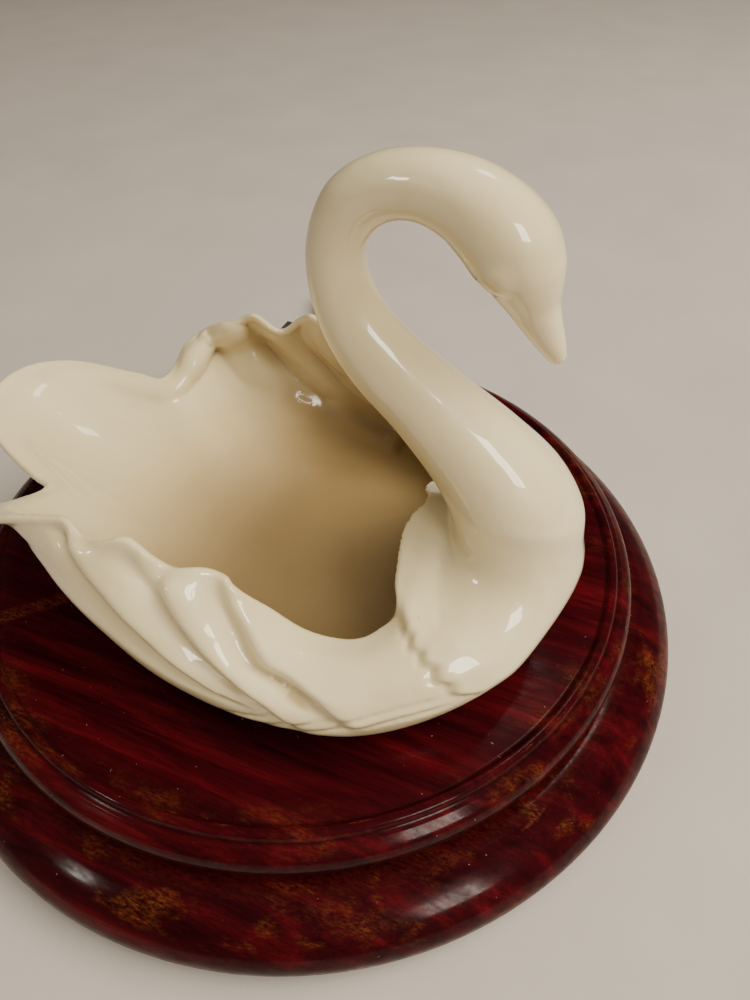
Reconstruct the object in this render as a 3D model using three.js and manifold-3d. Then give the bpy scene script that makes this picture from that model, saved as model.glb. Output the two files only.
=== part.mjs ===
// Television lamp: a glazed porcelain swan dish standing on a two-step turned
// wooden base, with a small candelabra lamp on a bracket behind its far wing.
//
// Units are millimetres, +Z is up. The origin is the centre of the base's
// underside. +X runs along the swan from tail to breast, -Y is the display
// front, +Y is the back, where the lamp and its lead are.

import * as THREE from "three";
import { mergeVertices } from "three/addons/utils/BufferGeometryUtils.js";
import Module from "manifold-3d";

const wasm = await Module();
wasm.setup();

// ---------------------------------------------------------------- dimensions

const GAP = 0.3; // clearance left between pieces that touch
const DEG = Math.PI / 180;

// turned base
const BASE_RADIUS = 114.3;
const BASE_HEIGHT = 34.0; // platform under the swan
const STEP_HEIGHT = 20.0; // top of the lower ring, where the upper disc sits
const STEP_RADIUS = 102.6;
const NECK_RADIUS = 97.0; // cove between the two steps
const DISC_RADIUS = 99.2;
const GROOVE_RADIUS = 94.7;
const PLATFORM_RADIUS = 90.3;
const RING_BORE_RADIUS = 84;
const FELT_RADIUS = 108;
const FELT_THICKNESS = 1.2;
const RING_BOTTOM = FELT_THICKNESS + GAP;
const DISC_BOTTOM = STEP_HEIGHT + GAP;
const BASE_SEGMENTS = 48;

const JOINING_SCREW_CIRCLE = 90;
const JOINING_SCREW_ANGLES = [30, 150, 270];
const JOINING_SCREW = { head: 4.1, shank: 2.1, bottom: 6.4, length: 24.5 };
const JOINING_BORE = { head: 4.6, shank: 2.5, shoulder: 9 };

// swan dish
const SWAN_MIDPLANE_Y = -10.2;
const BODY_CENTRE_X = 12;
const SWAN_FOOT_Z = 35.1;
const BOWL_FLOOR_Z = 40.4;
const RECESS_Z = 37.4;
const FOOT_WIDTH = 4.5;
const WALL = 3.2;
const RIM_WALL = 2.3;
const LINING_START = 0.24; // share of the wall's height where its lining begins
const BREAST_ANGLES = [20, 46]; // between these the thick breast gives way to the wall
const BODY_SEGMENTS = 72;
const OUTER_SHARES = [0, 0.1, 0.2, 0.3, 0.4, 0.5, 0.6, 0.7, 0.8, 0.9, 1];
const LINING_SHARES = [LINING_START, 0.34, 0.45, 0.56, 0.67, 0.78, 0.89, 1];
const HULL_CAP_Z = 55; // centre of the lid that closes the hull before it is hollowed
const CAVITY_CAP_Z = 93;
const PAD = { radius: 1.4, thickness: 0.5, inset: 1.6, angles: [60, 180, 300] };

// the rim of one half of the dish, from the back of the neck round to the
// tail: along the swan, out from its mid-plane, and height
const RIM = [
  [43.9, 0, 73.4], [41.5, 6.4, 70.5], [41.3, 12.9, 67.6], [42.3, 20.4, 65.6], // bib
  [44.3, 26.8, 64.1], [44.6, 28.8, 61.2], [42.2, 31.5, 58.8], [38.6, 35.1, 57.6],
  [32.5, 37.2, 56.8], [25.4, 39.3, 58.1], [18.8, 40.8, 62.2], // low front of the wing
  [13.8, 42.5, 67.4], [9.8, 43.4, 73.6], [5.8, 43.6, 77.2], [2.2, 44.9, 77.4],
  [-3.8, 46.3, 75.4], [-8.8, 47.5, 80.6], [-12.8, 48.3, 83.1], // ruffles
  [-18.3, 48.8, 81.1], [-24.3, 47.9, 79.1], [-31.3, 47.2, 81.4],
  [-39.3, 47.7, 78.8], [-48.1, 48.5, 75.2], [-55, 48.4, 72.1], [-59, 43.6, 68.8], // wing tip
  [-57.6, 35.3, 65.5], [-56.7, 27.3, 63.6], [-62.2, 25.7, 64.3], // notch before the tail
  [-71.1, 22.8, 65.7], [-81, 18.1, 68.5], [-88.5, 9.8, 70.8], [-90.9, 0, 71.6], // tail
];

// the hull between foot and rim: at each angle round the body, the radius and
// height of its low turn, its widest line, its shoulder and its upper line
const HULL = [
  [0, 55.7, 39.4, 71.0, 58.4, 65.8, 73.8, 48, 75.7],
  [20, 57.5, 38.6, 69.6, 54.3, 61, 66.4, 47.1, 67.0],
  [38, 60.5, 38.2, 67.0, 48.7, 60.3, 58.6, 50.6, 61.4],
  [55, 59.6, 37.6, 63.2, 47.4, 58.1, 55.1, 51.7, 58.0],
  [75, 56.4, 37.4, 58.8, 46.1, 55.6, 53.3, 49.5, 57.7],
  [95, 54.4, 37.9, 58.8, 47.4, 55.7, 58, 49.6, 67.5],
  [115, 54.8, 41.2, 63.7, 54.5, 62.9, 64.2, 58, 73.8],
  [133, 56, 45.8, 69.4, 62.1, 69.7, 69.8, 67, 76.4],
  [146, 55.7, 46, 71.7, 60.2, 75.8, 65.2, 78.9, 68.6],
  [159, 53.5, 45.5, 63.6, 52.3, 68.7, 56.9, 71.8, 60.5],
  [170, 55.4, 44.7, 73.3, 53.4, 83.3, 59.7, 91.3, 65.5],
  [180, 55.3, 44.2, 77.1, 53.1, 89, 60.5, 97, 66.7],
];
const FOOT_RADIUS = [[0, 40], [60, 33], [90, 31], [180, 28]];
const FLOOR_RADIUS = [[0, 33], [60, 34], [90, 30], [180, 26]];

// feather flutes of the wings: angle at the rim, half width, and push inward
// (valleys, positive) or outward (ridges, negative)
const FLUTES = [
  [84, 7, -0.6], [93, 5.5, 1.5], [103.5, 6, -1.2], [114, 5.5, 2.4],
  [124, 6, -1.6], [133.5, 5, 2.6], [143, 6, -1.0],
];
const FLUTE_SWEEP = 38; // how far a flute leans forward from rim to foot

// neck and head: along the swan, height, radius, from the breast to the beak
const NECK = [
  [66.5, 58, 13.5], [65.7, 70.2, 15.6], [61.6, 80.8, 14.4], [53.4, 90.8, 11.7],
  [41.6, 101.4, 8.7], [31.6, 110.1, 7.2], [25.0, 118, 6.4], [20.6, 126.6, 6.1],
  [19.6, 134.4, 6], [23.1, 142.9, 6.2], [29.6, 147.4, 6.0], [37.0, 148.7, 6.2],
  [44.4, 147.0, 6.9], [50.2, 143.8, 7.5], [54.4, 139.8, 7.7], [57.0, 136.2, 7.0],
  [58.8, 133.4, 6.9], [60.3, 130.9, 5.9], [61.6, 128.2, 4.9], [63.6, 124.5, 3.4],
  [65.9, 121, 2.1], [67.1, 119.2, 1.2],
];

// lamp behind the far wing
const LAMP_Y = 60;
const LAMP_Z = 45.9;
const BRACKET = { back: -41, thickness: 2, foot: -49.5, width: 24, top: 56 };
const BRACKET_BOTTOM = BASE_HEIGHT + GAP;
const BRACKET_SCREW_X = -46;
const BRACKET_SCREW_SPREAD = 18;
const NIPPLE = { radius: 4.8, bore: 3, back: -46.5, front: -35 };
const NIPPLE_HOLE = 5.1;
const HOLDER = { back: -38.7, front: -9, radius: 9.5, bore: 7.3, floor: -29 };
const SHELL = { back: -28.4, front: -10, radius: 7, bore: 6.5 };
const CAP = { tip: -28, front: -12, radius: 6.1, bore: 5.6 };
const GLASS = { neck: -14.5, tip: 18, neckRadius: 5.2, radius: 9.5, wall: 0.8 };

// lead
const CORD_RADIUS = 2.2;
const CORD_LIE = CORD_RADIUS + 0.4; // height of a lead lying on the table
const CORD_HOLE = { x: -55, y: 59 };
const GROMMET = { barrel: 4.4, flange: 5.2, bore: 2.6 };
const EXIT_ANGLE = 116;
const EXIT_Z = 11;
const BUSHING = { barrel: 4.5, flange: 6.5, bore: 2.6, inner: 104, outer: 116.4 };
const CLAMP = { x: -32, y: 46, cordZ: 17.3, width: 8 };

// rotary switch on the lead
const SWITCH = { x: -83, y: 95, angle: 42, length: 46, width: 19, bottom: 0.5, top: 13.5 };
const SWITCH_SPLIT = 7;
const WHEEL = { radius: 9, thickness: 4, offset: 3.5, bore: 1.6 };
const SPINDLE_RADIUS = 1.3;
const SWITCH_CORD_REACH = 14;

// plug and bundled lead
const PLUG = { x: -21, y: 124.8, angle: 0, length: 20, width: 20, height: 12, bottom: 0.5 };
const BLADE = { length: 17.5, height: 6.4, thickness: 1.5, spacing: 12.7, root: 9 };
const BUNDLE = { x: -58, y: 156, angle: 120, half: 18, turn: 8.5, lie: 3.4, layer: 4.8 };
const TIE = { thickness: 0.8, width: 5, slack: 0.25 };

// ----------------------------------------------------------------- materials

function material(color, roughness, metalness = 0) {
  return new THREE.MeshStandardMaterial({ color, roughness, metalness });
}

const glaze = () => material(0xe9dfc6, 0.12);
const mahogany = () => material(0x4a100c, 0.25);
const feltGreen = () => material(0x2f3a30, 0.95);
const steel = () => material(0x9a9a98, 0.35, 1);
const brass = () => material(0xb08d4a, 0.3, 1);
const phenolic = () => material(0x1d1512, 0.35);
const clearGlass = () => material(0xf2ead8, 0.05);
const cordBrown = () => material(0x3a2417, 0.6);
const rubber = () => material(0x1a1a1a, 0.8);

// ------------------------------------------------------------------- helpers

const root = new THREE.Group();

function addPiece(name, geometry, finish, parent = root) {
  const piece = new THREE.Mesh(geometry, finish);
  piece.name = name;
  parent.add(piece);
  return piece;
}

/** Merge a geometry's shared corners and hand it to the boolean library. */
function toSolid(geometry) {
  const bare = geometry.clone();
  bare.deleteAttribute("normal");
  bare.deleteAttribute("uv");
  const merged = mergeVertices(bare, 1e-4);
  const vertProperties = new Float32Array(merged.attributes.position.array);
  const triVerts = new Uint32Array(merged.index.array);
  const mesh = new wasm.Mesh({ numProp: 3, vertProperties, triVerts });
  mesh.merge();
  return new wasm.Manifold(mesh);
}

function toGeometry(solid) {
  const mesh = solid.getMesh();
  const geometry = new THREE.BufferGeometry();
  geometry.setAttribute("position", new THREE.BufferAttribute(mesh.vertProperties, 3));
  geometry.setIndex(new THREE.BufferAttribute(mesh.triVerts, 1));
  geometry.computeVertexNormals();
  return geometry;
}

/** Cut every tool out of a geometry. */
function cut(geometry, tools) {
  let solid = toSolid(geometry);
  for (const tool of tools) {
    solid = solid.subtract(toSolid(tool));
  }
  return toGeometry(solid);
}

/** Turn a profile of [radius, height] points about the vertical axis. */
function turned(profile, segments = 24) {
  const points = profile.map(([radius, height]) => new THREE.Vector2(radius, height));
  return new THREE.LatheGeometry(points, segments).rotateX(Math.PI / 2);
}

/** Turn a profile of [radius, x] points about the lamp's horizontal axis. */
function turnedOnLamp(profile, segments = 20) {
  return turned(profile, segments).rotateY(Math.PI / 2).translate(0, LAMP_Y, LAMP_Z);
}

/** Upright cylinder between two heights. */
function post(x, y, radius, bottom, top, segments = 16) {
  const height = top - bottom;
  return new THREE.CylinderGeometry(radius, radius, height, segments)
    .rotateX(Math.PI / 2)
    .translate(x, y, bottom + height / 2);
}

/** Cylinder along X between two stations. */
function barX(y, z, radius, from, to, segments = 16) {
  const length = to - from;
  return new THREE.CylinderGeometry(radius, radius, length, segments)
    .rotateZ(Math.PI / 2)
    .translate(from + length / 2, y, z);
}

function roundedRectangle(width, height, radius) {
  const shape = new THREE.Shape();
  const x = width / 2 - radius;
  const y = height / 2 - radius;
  shape.absarc(x, y, radius, 0, 90 * DEG);
  shape.absarc(-x, y, radius, 90 * DEG, 180 * DEG);
  shape.absarc(-x, -y, radius, 180 * DEG, 270 * DEG);
  shape.absarc(x, -y, radius, 270 * DEG, 360 * DEG);
  return shape;
}

function extruded(shape, depth, curveSegments = 4) {
  return new THREE.ExtrudeGeometry(shape, { depth, bevelEnabled: false, curveSegments });
}

/** Round lead along a curve through points. */
function lead(points, steps) {
  const path = new THREE.CatmullRomCurve3(points, false, "centripetal");
  const section = new THREE.Shape().absarc(0, 0, CORD_RADIUS, 0, 2 * Math.PI);
  return new THREE.ExtrudeGeometry(section, { extrudePath: path, steps, curveSegments: 4 });
}

const onCircle = (radius, degrees, z = 0) =>
  new THREE.Vector3(radius * Math.cos(degrees * DEG), radius * Math.sin(degrees * DEG), z);

/** Smooth curve through rows of [x, value, value...], flat at both ends. */
function smoothTable(rows) {
  const slope = rows.map((row, i) => {
    if (i === 0 || i === rows.length - 1) return row.map(() => 0);
    const before = rows[i - 1];
    const after = rows[i + 1];
    return row.map((_, k) => (after[k] - before[k]) / (after[0] - before[0]));
  });
  return (x) => {
    let i = 0;
    while (i < rows.length - 2 && x > rows[i + 1][0]) i += 1;
    const width = rows[i + 1][0] - rows[i][0];
    const t = Math.min(Math.max((x - rows[i][0]) / width, 0), 1);
    const t2 = t * t;
    const t3 = t2 * t;
    return rows[i].slice(1).map((value, k) => {
      const next = rows[i + 1][k + 1];
      const start = slope[i][k + 1] * width;
      const end = slope[i + 1][k + 1] * width;
      const ease = 3 * t2 - 2 * t3;
      return value * (1 - ease) + next * ease + start * (t3 - 2 * t2 + t) + end * (t3 - t2);
    });
  };
}

/** Closed solid from stacked rings of equal length, with a point at each end. */
function stackedSolid(rings, bottom, top) {
  const count = rings[0].length;
  const points = [...rings.flat(), bottom, top];
  const bottomIndex = points.length - 2;
  const topIndex = points.length - 1;
  const last = (rings.length - 1) * count;
  const index = [];
  for (let i = 0; i < count; i += 1) {
    const next = (i + 1) % count;
    for (let row = 0; row < rings.length - 1; row += 1) {
      const a = row * count + i;
      const b = row * count + next;
      index.push(a, b, b + count, a, b + count, a + count);
    }
    index.push(bottomIndex, next, i);
    index.push(topIndex, last + i, last + next);
  }
  const geometry = new THREE.BufferGeometry().setFromPoints(points);
  geometry.setIndex(index);
  return geometry;
}

// ---------------------------------------------------------------- the base

function buildBase() {
  addPiece("base_felt", post(0, 0, FELT_RADIUS, 0, FELT_THICKNESS, BASE_SEGMENTS), feltGreen());

  const ringProfile = [
    [RING_BORE_RADIUS, RING_BOTTOM],
    [110.6, RING_BOTTOM],
    [113.1, 3.8],
    [BASE_RADIUS, 9],
    [113.2, 12.9],
    [109.6, 16.5],
    [105.2, 18.9],
    [STEP_RADIUS, STEP_HEIGHT],
    [RING_BORE_RADIUS, STEP_HEIGHT],
    [RING_BORE_RADIUS, RING_BOTTOM],
  ];
  const exitLength = 40;
  const exitHole = new THREE.CylinderGeometry(4.8, 4.8, exitLength, 16)
    .rotateZ(Math.PI / 2)
    .rotateZ(EXIT_ANGLE * DEG)
    .translate(...onCircle(100, EXIT_ANGLE, EXIT_Z).toArray());
  const ringTools = [exitHole];
  const discTools = [
    post(CORD_HOLE.x, CORD_HOLE.y, GROMMET.barrel + GAP, DISC_BOTTOM - 1, BASE_HEIGHT + 1),
    post(CLAMP.x + 6.5, CLAMP.y, 1.6, DISC_BOTTOM - 1, DISC_BOTTOM + 8, 12),
  ];
  for (const side of [-0.5, 0.5]) {
    const y = LAMP_Y + side * BRACKET_SCREW_SPREAD;
    discTools.push(post(BRACKET_SCREW_X, y, 2, BASE_HEIGHT - 12.5, BASE_HEIGHT + 1, 12));
  }
  for (const angle of JOINING_SCREW_ANGLES) {
    const { x, y } = onCircle(JOINING_SCREW_CIRCLE, angle);
    ringTools.push(post(x, y, JOINING_BORE.head, RING_BOTTOM - 1, JOINING_BORE.shoulder, 16));
    ringTools.push(post(x, y, JOINING_BORE.shank, 0, STEP_HEIGHT + 1, 12));
    const pilotTop = JOINING_SCREW.bottom + JOINING_SCREW.length + 0.6;
    discTools.push(post(x, y, JOINING_BORE.shank, DISC_BOTTOM - 1, pilotTop, 12));
  }
  addPiece("base_foot_ring", cut(turned(ringProfile, BASE_SEGMENTS), ringTools), mahogany());

  const discProfile = [
    [0, DISC_BOTTOM],
    [NECK_RADIUS, DISC_BOTTOM],
    [96.6, 22],
    [98.4, 24.4],
    [DISC_RADIUS, 27.4],
    [98.1, 30.6],
    [GROOVE_RADIUS, 32.8],
    [92.5, 34.6],
    [PLATFORM_RADIUS, BASE_HEIGHT],
    [0, BASE_HEIGHT],
  ];
  addPiece("base_plinth_disc", cut(turned(discProfile, BASE_SEGMENTS), discTools), mahogany());

  JOINING_SCREW_ANGLES.forEach((angle, i) => {
    const { head, shank, bottom, length } = JOINING_SCREW;
    const screw = turned([
      [0, bottom], [head, bottom + 0.8], [head, bottom + 2.3], [shank, bottom + 2.3],
      [shank, bottom + length - 4], [0, bottom + length],
    ], 12);
    const { x, y } = onCircle(JOINING_SCREW_CIRCLE, angle);
    addPiece(`joining_screw_${i + 1}`, screw, steel()).position.set(x, y, 0);
  });
}

// ---------------------------------------------------------------- the swan

const rimAt = smoothTable(RIM.map(([x, side, z]) => {
  const along = x - BODY_CENTRE_X;
  return [Math.atan2(side, along) / DEG, Math.hypot(along, side), z];
}));
const hullAt = smoothTable(HULL);
const footAt = smoothTable(FOOT_RADIUS);
const floorAt = smoothTable(FLOOR_RADIUS);

/** Inward push of the wall at an angle and height share (0 foot, 1 rim). */
function flute(angle, share) {
  const swept = angle + FLUTE_SWEEP * (1 - share) + 26 * (1 - share) ** 6;
  let push = 0;
  for (const [centre, halfWidth, depth] of FLUTES) {
    push += depth * Math.exp(-(((swept - centre) / halfWidth) ** 2));
  }
  const fade = THREE.MathUtils.smoothstep(share, 0.1, 0.4);
  const front = THREE.MathUtils.clamp((angle - 35) / 25, 0, 1);
  const back = THREE.MathUtils.clamp((160 - angle) / 10, 0, 1);
  return push * fade * front * back;
}

/** Point of the body from an angle, a radius and a height. */
function bodyPoint(degrees, radius, z) {
  const x = BODY_CENTRE_X + radius * Math.cos(degrees * DEG);
  const y = SWAN_MIDPLANE_Y + radius * Math.sin(degrees * DEG);
  return new THREE.Vector3(x, y, z);
}

/** Rings of points up a wall; controls(angle) gives its [radius, height] points. */
function wallRings(controls, shares) {
  const rings = shares.map(() => []);
  for (let i = 0; i < BODY_SEGMENTS; i += 1) {
    const degrees = (i * 360) / BODY_SEGMENTS;
    const angle = degrees > 180 ? 360 - degrees : degrees;
    const points = controls(angle).map(([r, z]) => new THREE.Vector3(r, 0, z));
    const meridian = new THREE.CatmullRomCurve3(points, false, "catmullrom", 0.5);
    shares.forEach((share, row) => {
      const { x, z } = meridian.getPoint(share);
      rings[row].push(bodyPoint(degrees, x - flute(angle, share), z));
    });
  }
  return rings;
}

function flatRing(radiusAt, z) {
  const ring = [];
  for (let i = 0; i < BODY_SEGMENTS; i += 1) {
    const degrees = (i * 360) / BODY_SEGMENTS;
    const angle = degrees > 180 ? 360 - degrees : degrees;
    ring.push(bodyPoint(degrees, radiusAt(angle), z));
  }
  return ring;
}

function outerControls(angle) {
  const [lowR, lowZ, wideR, wideZ, shoulderR, shoulderZ, upperR, upperZ] = hullAt(angle);
  return [
    [footAt(angle)[0], SWAN_FOOT_Z], [lowR, lowZ], [wideR, wideZ],
    [shoulderR, shoulderZ], [upperR, upperZ], rimAt(angle),
  ];
}

/** Plain slope behind the thick breast, from the bowl's floor up to the rim. */
function breastControls(angle) {
  const [rimR, rimZ] = rimAt(angle);
  const topR = rimR - RIM_WALL;
  const floorR = floorAt(angle)[0];
  const floorZ = BOWL_FLOOR_Z + 2;
  return [
    [floorR, floorZ],
    [0.25 * topR + 0.75 * floorR + 3.5, 0.25 * rimZ + 0.75 * floorZ],
    [0.5 * (topR + floorR) + 3, 0.5 * (rimZ + floorZ)],
    [topR, rimZ],
  ];
}

/** Outward normal at each point of rings that go up the wall. */
function wallNormals(rings) {
  return rings.map((ring, row) => ring.map((_, i) => {
    const below = rings[Math.max(row - 1, 0)][i];
    const above = rings[Math.min(row + 1, rings.length - 1)][i];
    const before = ring[(i + ring.length - 1) % ring.length];
    const after = ring[(i + 1) % ring.length];
    const up = above.clone().sub(below);
    return after.clone().sub(before).cross(up).normalize();
  }));
}

/** Inner face of the wall: the outer face moved inward along its normals. */
function liningRings(shares) {
  const outer = wallRings(outerControls, shares);
  const normals = wallNormals(outer);
  const heights = shares.map((share) => (share - LINING_START) / (1 - LINING_START));
  const breast = wallRings(breastControls, heights);
  return outer.map((ring, row) => {
    const below = THREE.MathUtils.smoothstep(1 - shares[row], 0, 0.3);
    const depth = THREE.MathUtils.lerp(RIM_WALL, WALL, below);
    return ring.map((point, i) => {
      const degrees = (i * 360) / BODY_SEGMENTS;
      const angle = Math.min(degrees, 360 - degrees);
      const back = THREE.MathUtils.smoothstep(angle, ...BREAST_ANGLES);
      const inside = point.clone().addScaledVector(normals[row][i], -depth);
      return breast[row][i].clone().lerp(inside, back);
    });
  });
}

/** Rings of a round tube whose centre line and radius follow the neck. */
function neckSolid(steps, sides) {
  const path = new THREE.CatmullRomCurve3(
    NECK.map(([x, z]) => new THREE.Vector3(x, SWAN_MIDPLANE_Y, z)),
    false,
    "centripetal",
  );
  const rings = [];
  for (let step = 0; step <= steps; step += 1) {
    const t = step / steps;
    const centre = path.getPoint(t);
    const tangent = path.getTangent(t);
    const side = new THREE.Vector3(0, 1, 0);
    const normal = new THREE.Vector3().crossVectors(side, tangent).normalize();
    const place = t * (NECK.length - 1);
    const knot = Math.min(Math.floor(place), NECK.length - 2);
    const radius = THREE.MathUtils.lerp(NECK[knot][2], NECK[knot + 1][2], place - knot);
    const ring = [];
    for (let i = 0; i < sides; i += 1) {
      const turn = (i * 2 * Math.PI) / sides;
      ring.push(
        centre.clone()
          .addScaledVector(normal, radius * Math.cos(turn))
          .addScaledVector(side, radius * Math.sin(turn)),
      );
    }
    rings.push(ring);
  }
  return toSolid(stackedSolid(rings, path.getPoint(0), path.getPoint(1)));
}

function buildSwan() {
  const hullRings = wallRings(outerControls, OUTER_SHARES);
  const lining = liningRings(LINING_SHARES);
  const innerRim = lining.at(-1);
  const recess = flatRing((angle) => footAt(angle)[0] - FOOT_WIDTH, RECESS_Z);
  const footInner = flatRing((angle) => footAt(angle)[0] - FOOT_WIDTH + 0.8, SWAN_FOOT_Z);
  const hull = toSolid(stackedSolid(
    [recess, footInner, ...hullRings, innerRim],
    bodyPoint(0, 0, RECESS_Z),
    bodyPoint(0, 0, HULL_CAP_Z),
  ));

  const floor = flatRing((angle) => floorAt(angle)[0], BOWL_FLOOR_Z);
  const mouth = innerRim.map((point) => point.clone().setZ(point.z + 4));
  const cavity = toSolid(stackedSolid(
    [floor, ...lining, mouth],
    bodyPoint(0, 0, BOWL_FLOOR_Z),
    bodyPoint(0, 0, CAVITY_CAP_Z),
  ));

  const solid = hull.add(neckSolid(40, 16)).subtract(cavity);
  addPiece("swan", toGeometry(solid), glaze());

  PAD.angles.forEach((angle, i) => {
    const { x, y } = bodyPoint(angle, footAt(Math.min(angle, 360 - angle))[0] - PAD.inset, 0);
    const bottom = BASE_HEIGHT + 0.25;
    const pad = post(x, y, PAD.radius, bottom, bottom + PAD.thickness, 12);
    addPiece(`swan_pad_${i + 1}`, pad, feltGreen());
  });
}

// ----------------------------------------------------------------- the lamp

function buildLamp() {
  const { back, thickness, foot, width, top } = BRACKET;
  const profile = new THREE.Shape();
  profile.moveTo(foot, BRACKET_BOTTOM);
  profile.lineTo(back + thickness, BRACKET_BOTTOM);
  profile.lineTo(back + thickness, top);
  profile.lineTo(back, top);
  profile.lineTo(back, BRACKET_BOTTOM + thickness);
  profile.lineTo(foot, BRACKET_BOTTOM + thickness);
  profile.closePath();
  const plate = extruded(profile, width).rotateX(Math.PI / 2).translate(0, LAMP_Y + width / 2, 0);
  const screwHeights = [BRACKET_BOTTOM - 1, BRACKET_BOTTOM + thickness + 1];
  const bracketTools = [barX(LAMP_Y, LAMP_Z, NIPPLE_HOLE, back - 1, back + thickness + 1)];
  for (const side of [-0.5, 0.5]) {
    const y = LAMP_Y + side * BRACKET_SCREW_SPREAD;
    bracketTools.push(post(BRACKET_SCREW_X, y, 2, ...screwHeights, 12));
  }
  addPiece("lamp_bracket", cut(plate, bracketTools), steel());

  [-0.5, 0.5].forEach((side, i) => {
    const under = BRACKET_BOTTOM + thickness + GAP;
    const screw = turned([
      [0, under - 13], [1.6, under - 10], [1.6, under], [3.1, under],
      [2.7, under + 1.3], [1.4, under + 1.9], [0, under + 2],
    ], 12);
    const y = LAMP_Y + side * BRACKET_SCREW_SPREAD;
    addPiece(`bracket_screw_${i + 1}`, screw, steel()).position.set(BRACKET_SCREW_X, y, 0);
  });

  const { radius: nippleR, bore: nippleBore, back: nippleBack, front: nippleFront } = NIPPLE;
  addPiece("socket_nipple", turnedOnLamp([
    [nippleBore, nippleBack], [nippleR, nippleBack], [nippleR, nippleFront],
    [nippleBore, nippleFront], [nippleBore, nippleBack],
  ]), brass());

  const nutFront = back - GAP;
  const nut = new THREE.CylinderGeometry(8, 8, 3, 6)
    .rotateZ(Math.PI / 2)
    .translate(nutFront - 1.5, LAMP_Y, LAMP_Z);
  const nutTool = barX(LAMP_Y, LAMP_Z, NIPPLE_HOLE, nutFront - 4, nutFront + 1);
  addPiece("socket_nut", cut(nut, [nutTool]), brass());

  addPiece("lampholder_body", turnedOnLamp([
    [NIPPLE_HOLE, HOLDER.back], [HOLDER.radius - 0.8, HOLDER.back],
    [HOLDER.radius, HOLDER.back + 0.8], [HOLDER.radius, HOLDER.front - 0.6],
    [HOLDER.radius - 0.6, HOLDER.front], [HOLDER.bore, HOLDER.front],
    [HOLDER.bore, HOLDER.floor], [2.4, HOLDER.floor], [2.4, NIPPLE.front + 1],
    [NIPPLE_HOLE, NIPPLE.front + 1], [NIPPLE_HOLE, HOLDER.back],
  ]), phenolic());

  addPiece("lampholder_screw_shell", turnedOnLamp([
    [SHELL.bore, SHELL.back], [SHELL.radius, SHELL.back], [SHELL.radius, SHELL.front],
    [SHELL.bore, SHELL.front], [SHELL.bore, SHELL.back],
  ]), brass());

  addPiece("lampholder_contact", turnedOnLamp([
    [0, NIPPLE.front + 2], [2, NIPPLE.front + 2], [2, HOLDER.floor + GAP],
    [2.6, HOLDER.floor + GAP], [2.6, CAP.tip - GAP], [0, CAP.tip - GAP],
  ], 12), brass());

  addPiece("bulb_cap", turnedOnLamp([
    [0, CAP.tip], [2, CAP.tip + 0.2], [3.6, CAP.tip + 2.2], [CAP.radius - 0.4, CAP.tip + 4],
    [CAP.radius, CAP.tip + 5], [CAP.radius, CAP.front], [CAP.bore, CAP.front],
    [CAP.bore, CAP.tip + 5.5], [0, CAP.tip + 4],
  ]), brass());

  const glassProfile = (inset) => [
    [GLASS.neckRadius - inset, GLASS.neck], [GLASS.neckRadius - inset, -10.5],
    [7.2 - inset, -6.5], [9 - inset, -2], [GLASS.radius - inset, 4], [9 - inset, 9.5],
    [7 - inset, 14], [3.8 - inset, 17],
  ];
  const glassInside = glassProfile(GLASS.wall).reverse();
  addPiece("bulb_glass", turnedOnLamp([
    ...glassProfile(0), [0, GLASS.tip], [0, GLASS.tip - GLASS.wall],
    ...glassInside, [GLASS.neckRadius, GLASS.neck],
  ]), clearGlass());

  addPiece("bulb_stem", turnedOnLamp([
    [0, -22], [1.6, -22], [3.6, -14], [1.4, -9], [1.1, -2], [0, -1.6],
  ], 10), clearGlass());

  const filamentPath = new THREE.CatmullRomCurve3([
    new THREE.Vector3(0.5, LAMP_Y - 4.2, LAMP_Z),
    new THREE.Vector3(4.5, LAMP_Y - 2.6, LAMP_Z + 1.4),
    new THREE.Vector3(4.5, LAMP_Y + 2.6, LAMP_Z - 1.4),
    new THREE.Vector3(0.5, LAMP_Y + 4.2, LAMP_Z),
  ]);
  const wire = new THREE.Shape().absarc(0, 0, 0.25, 0, 2 * Math.PI);
  addPiece("bulb_filament", new THREE.ExtrudeGeometry(wire, {
    extrudePath: filamentPath, steps: 12, curveSegments: 2,
  }), steel());
}

// ----------------------------------------------------------------- the lead

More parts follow.
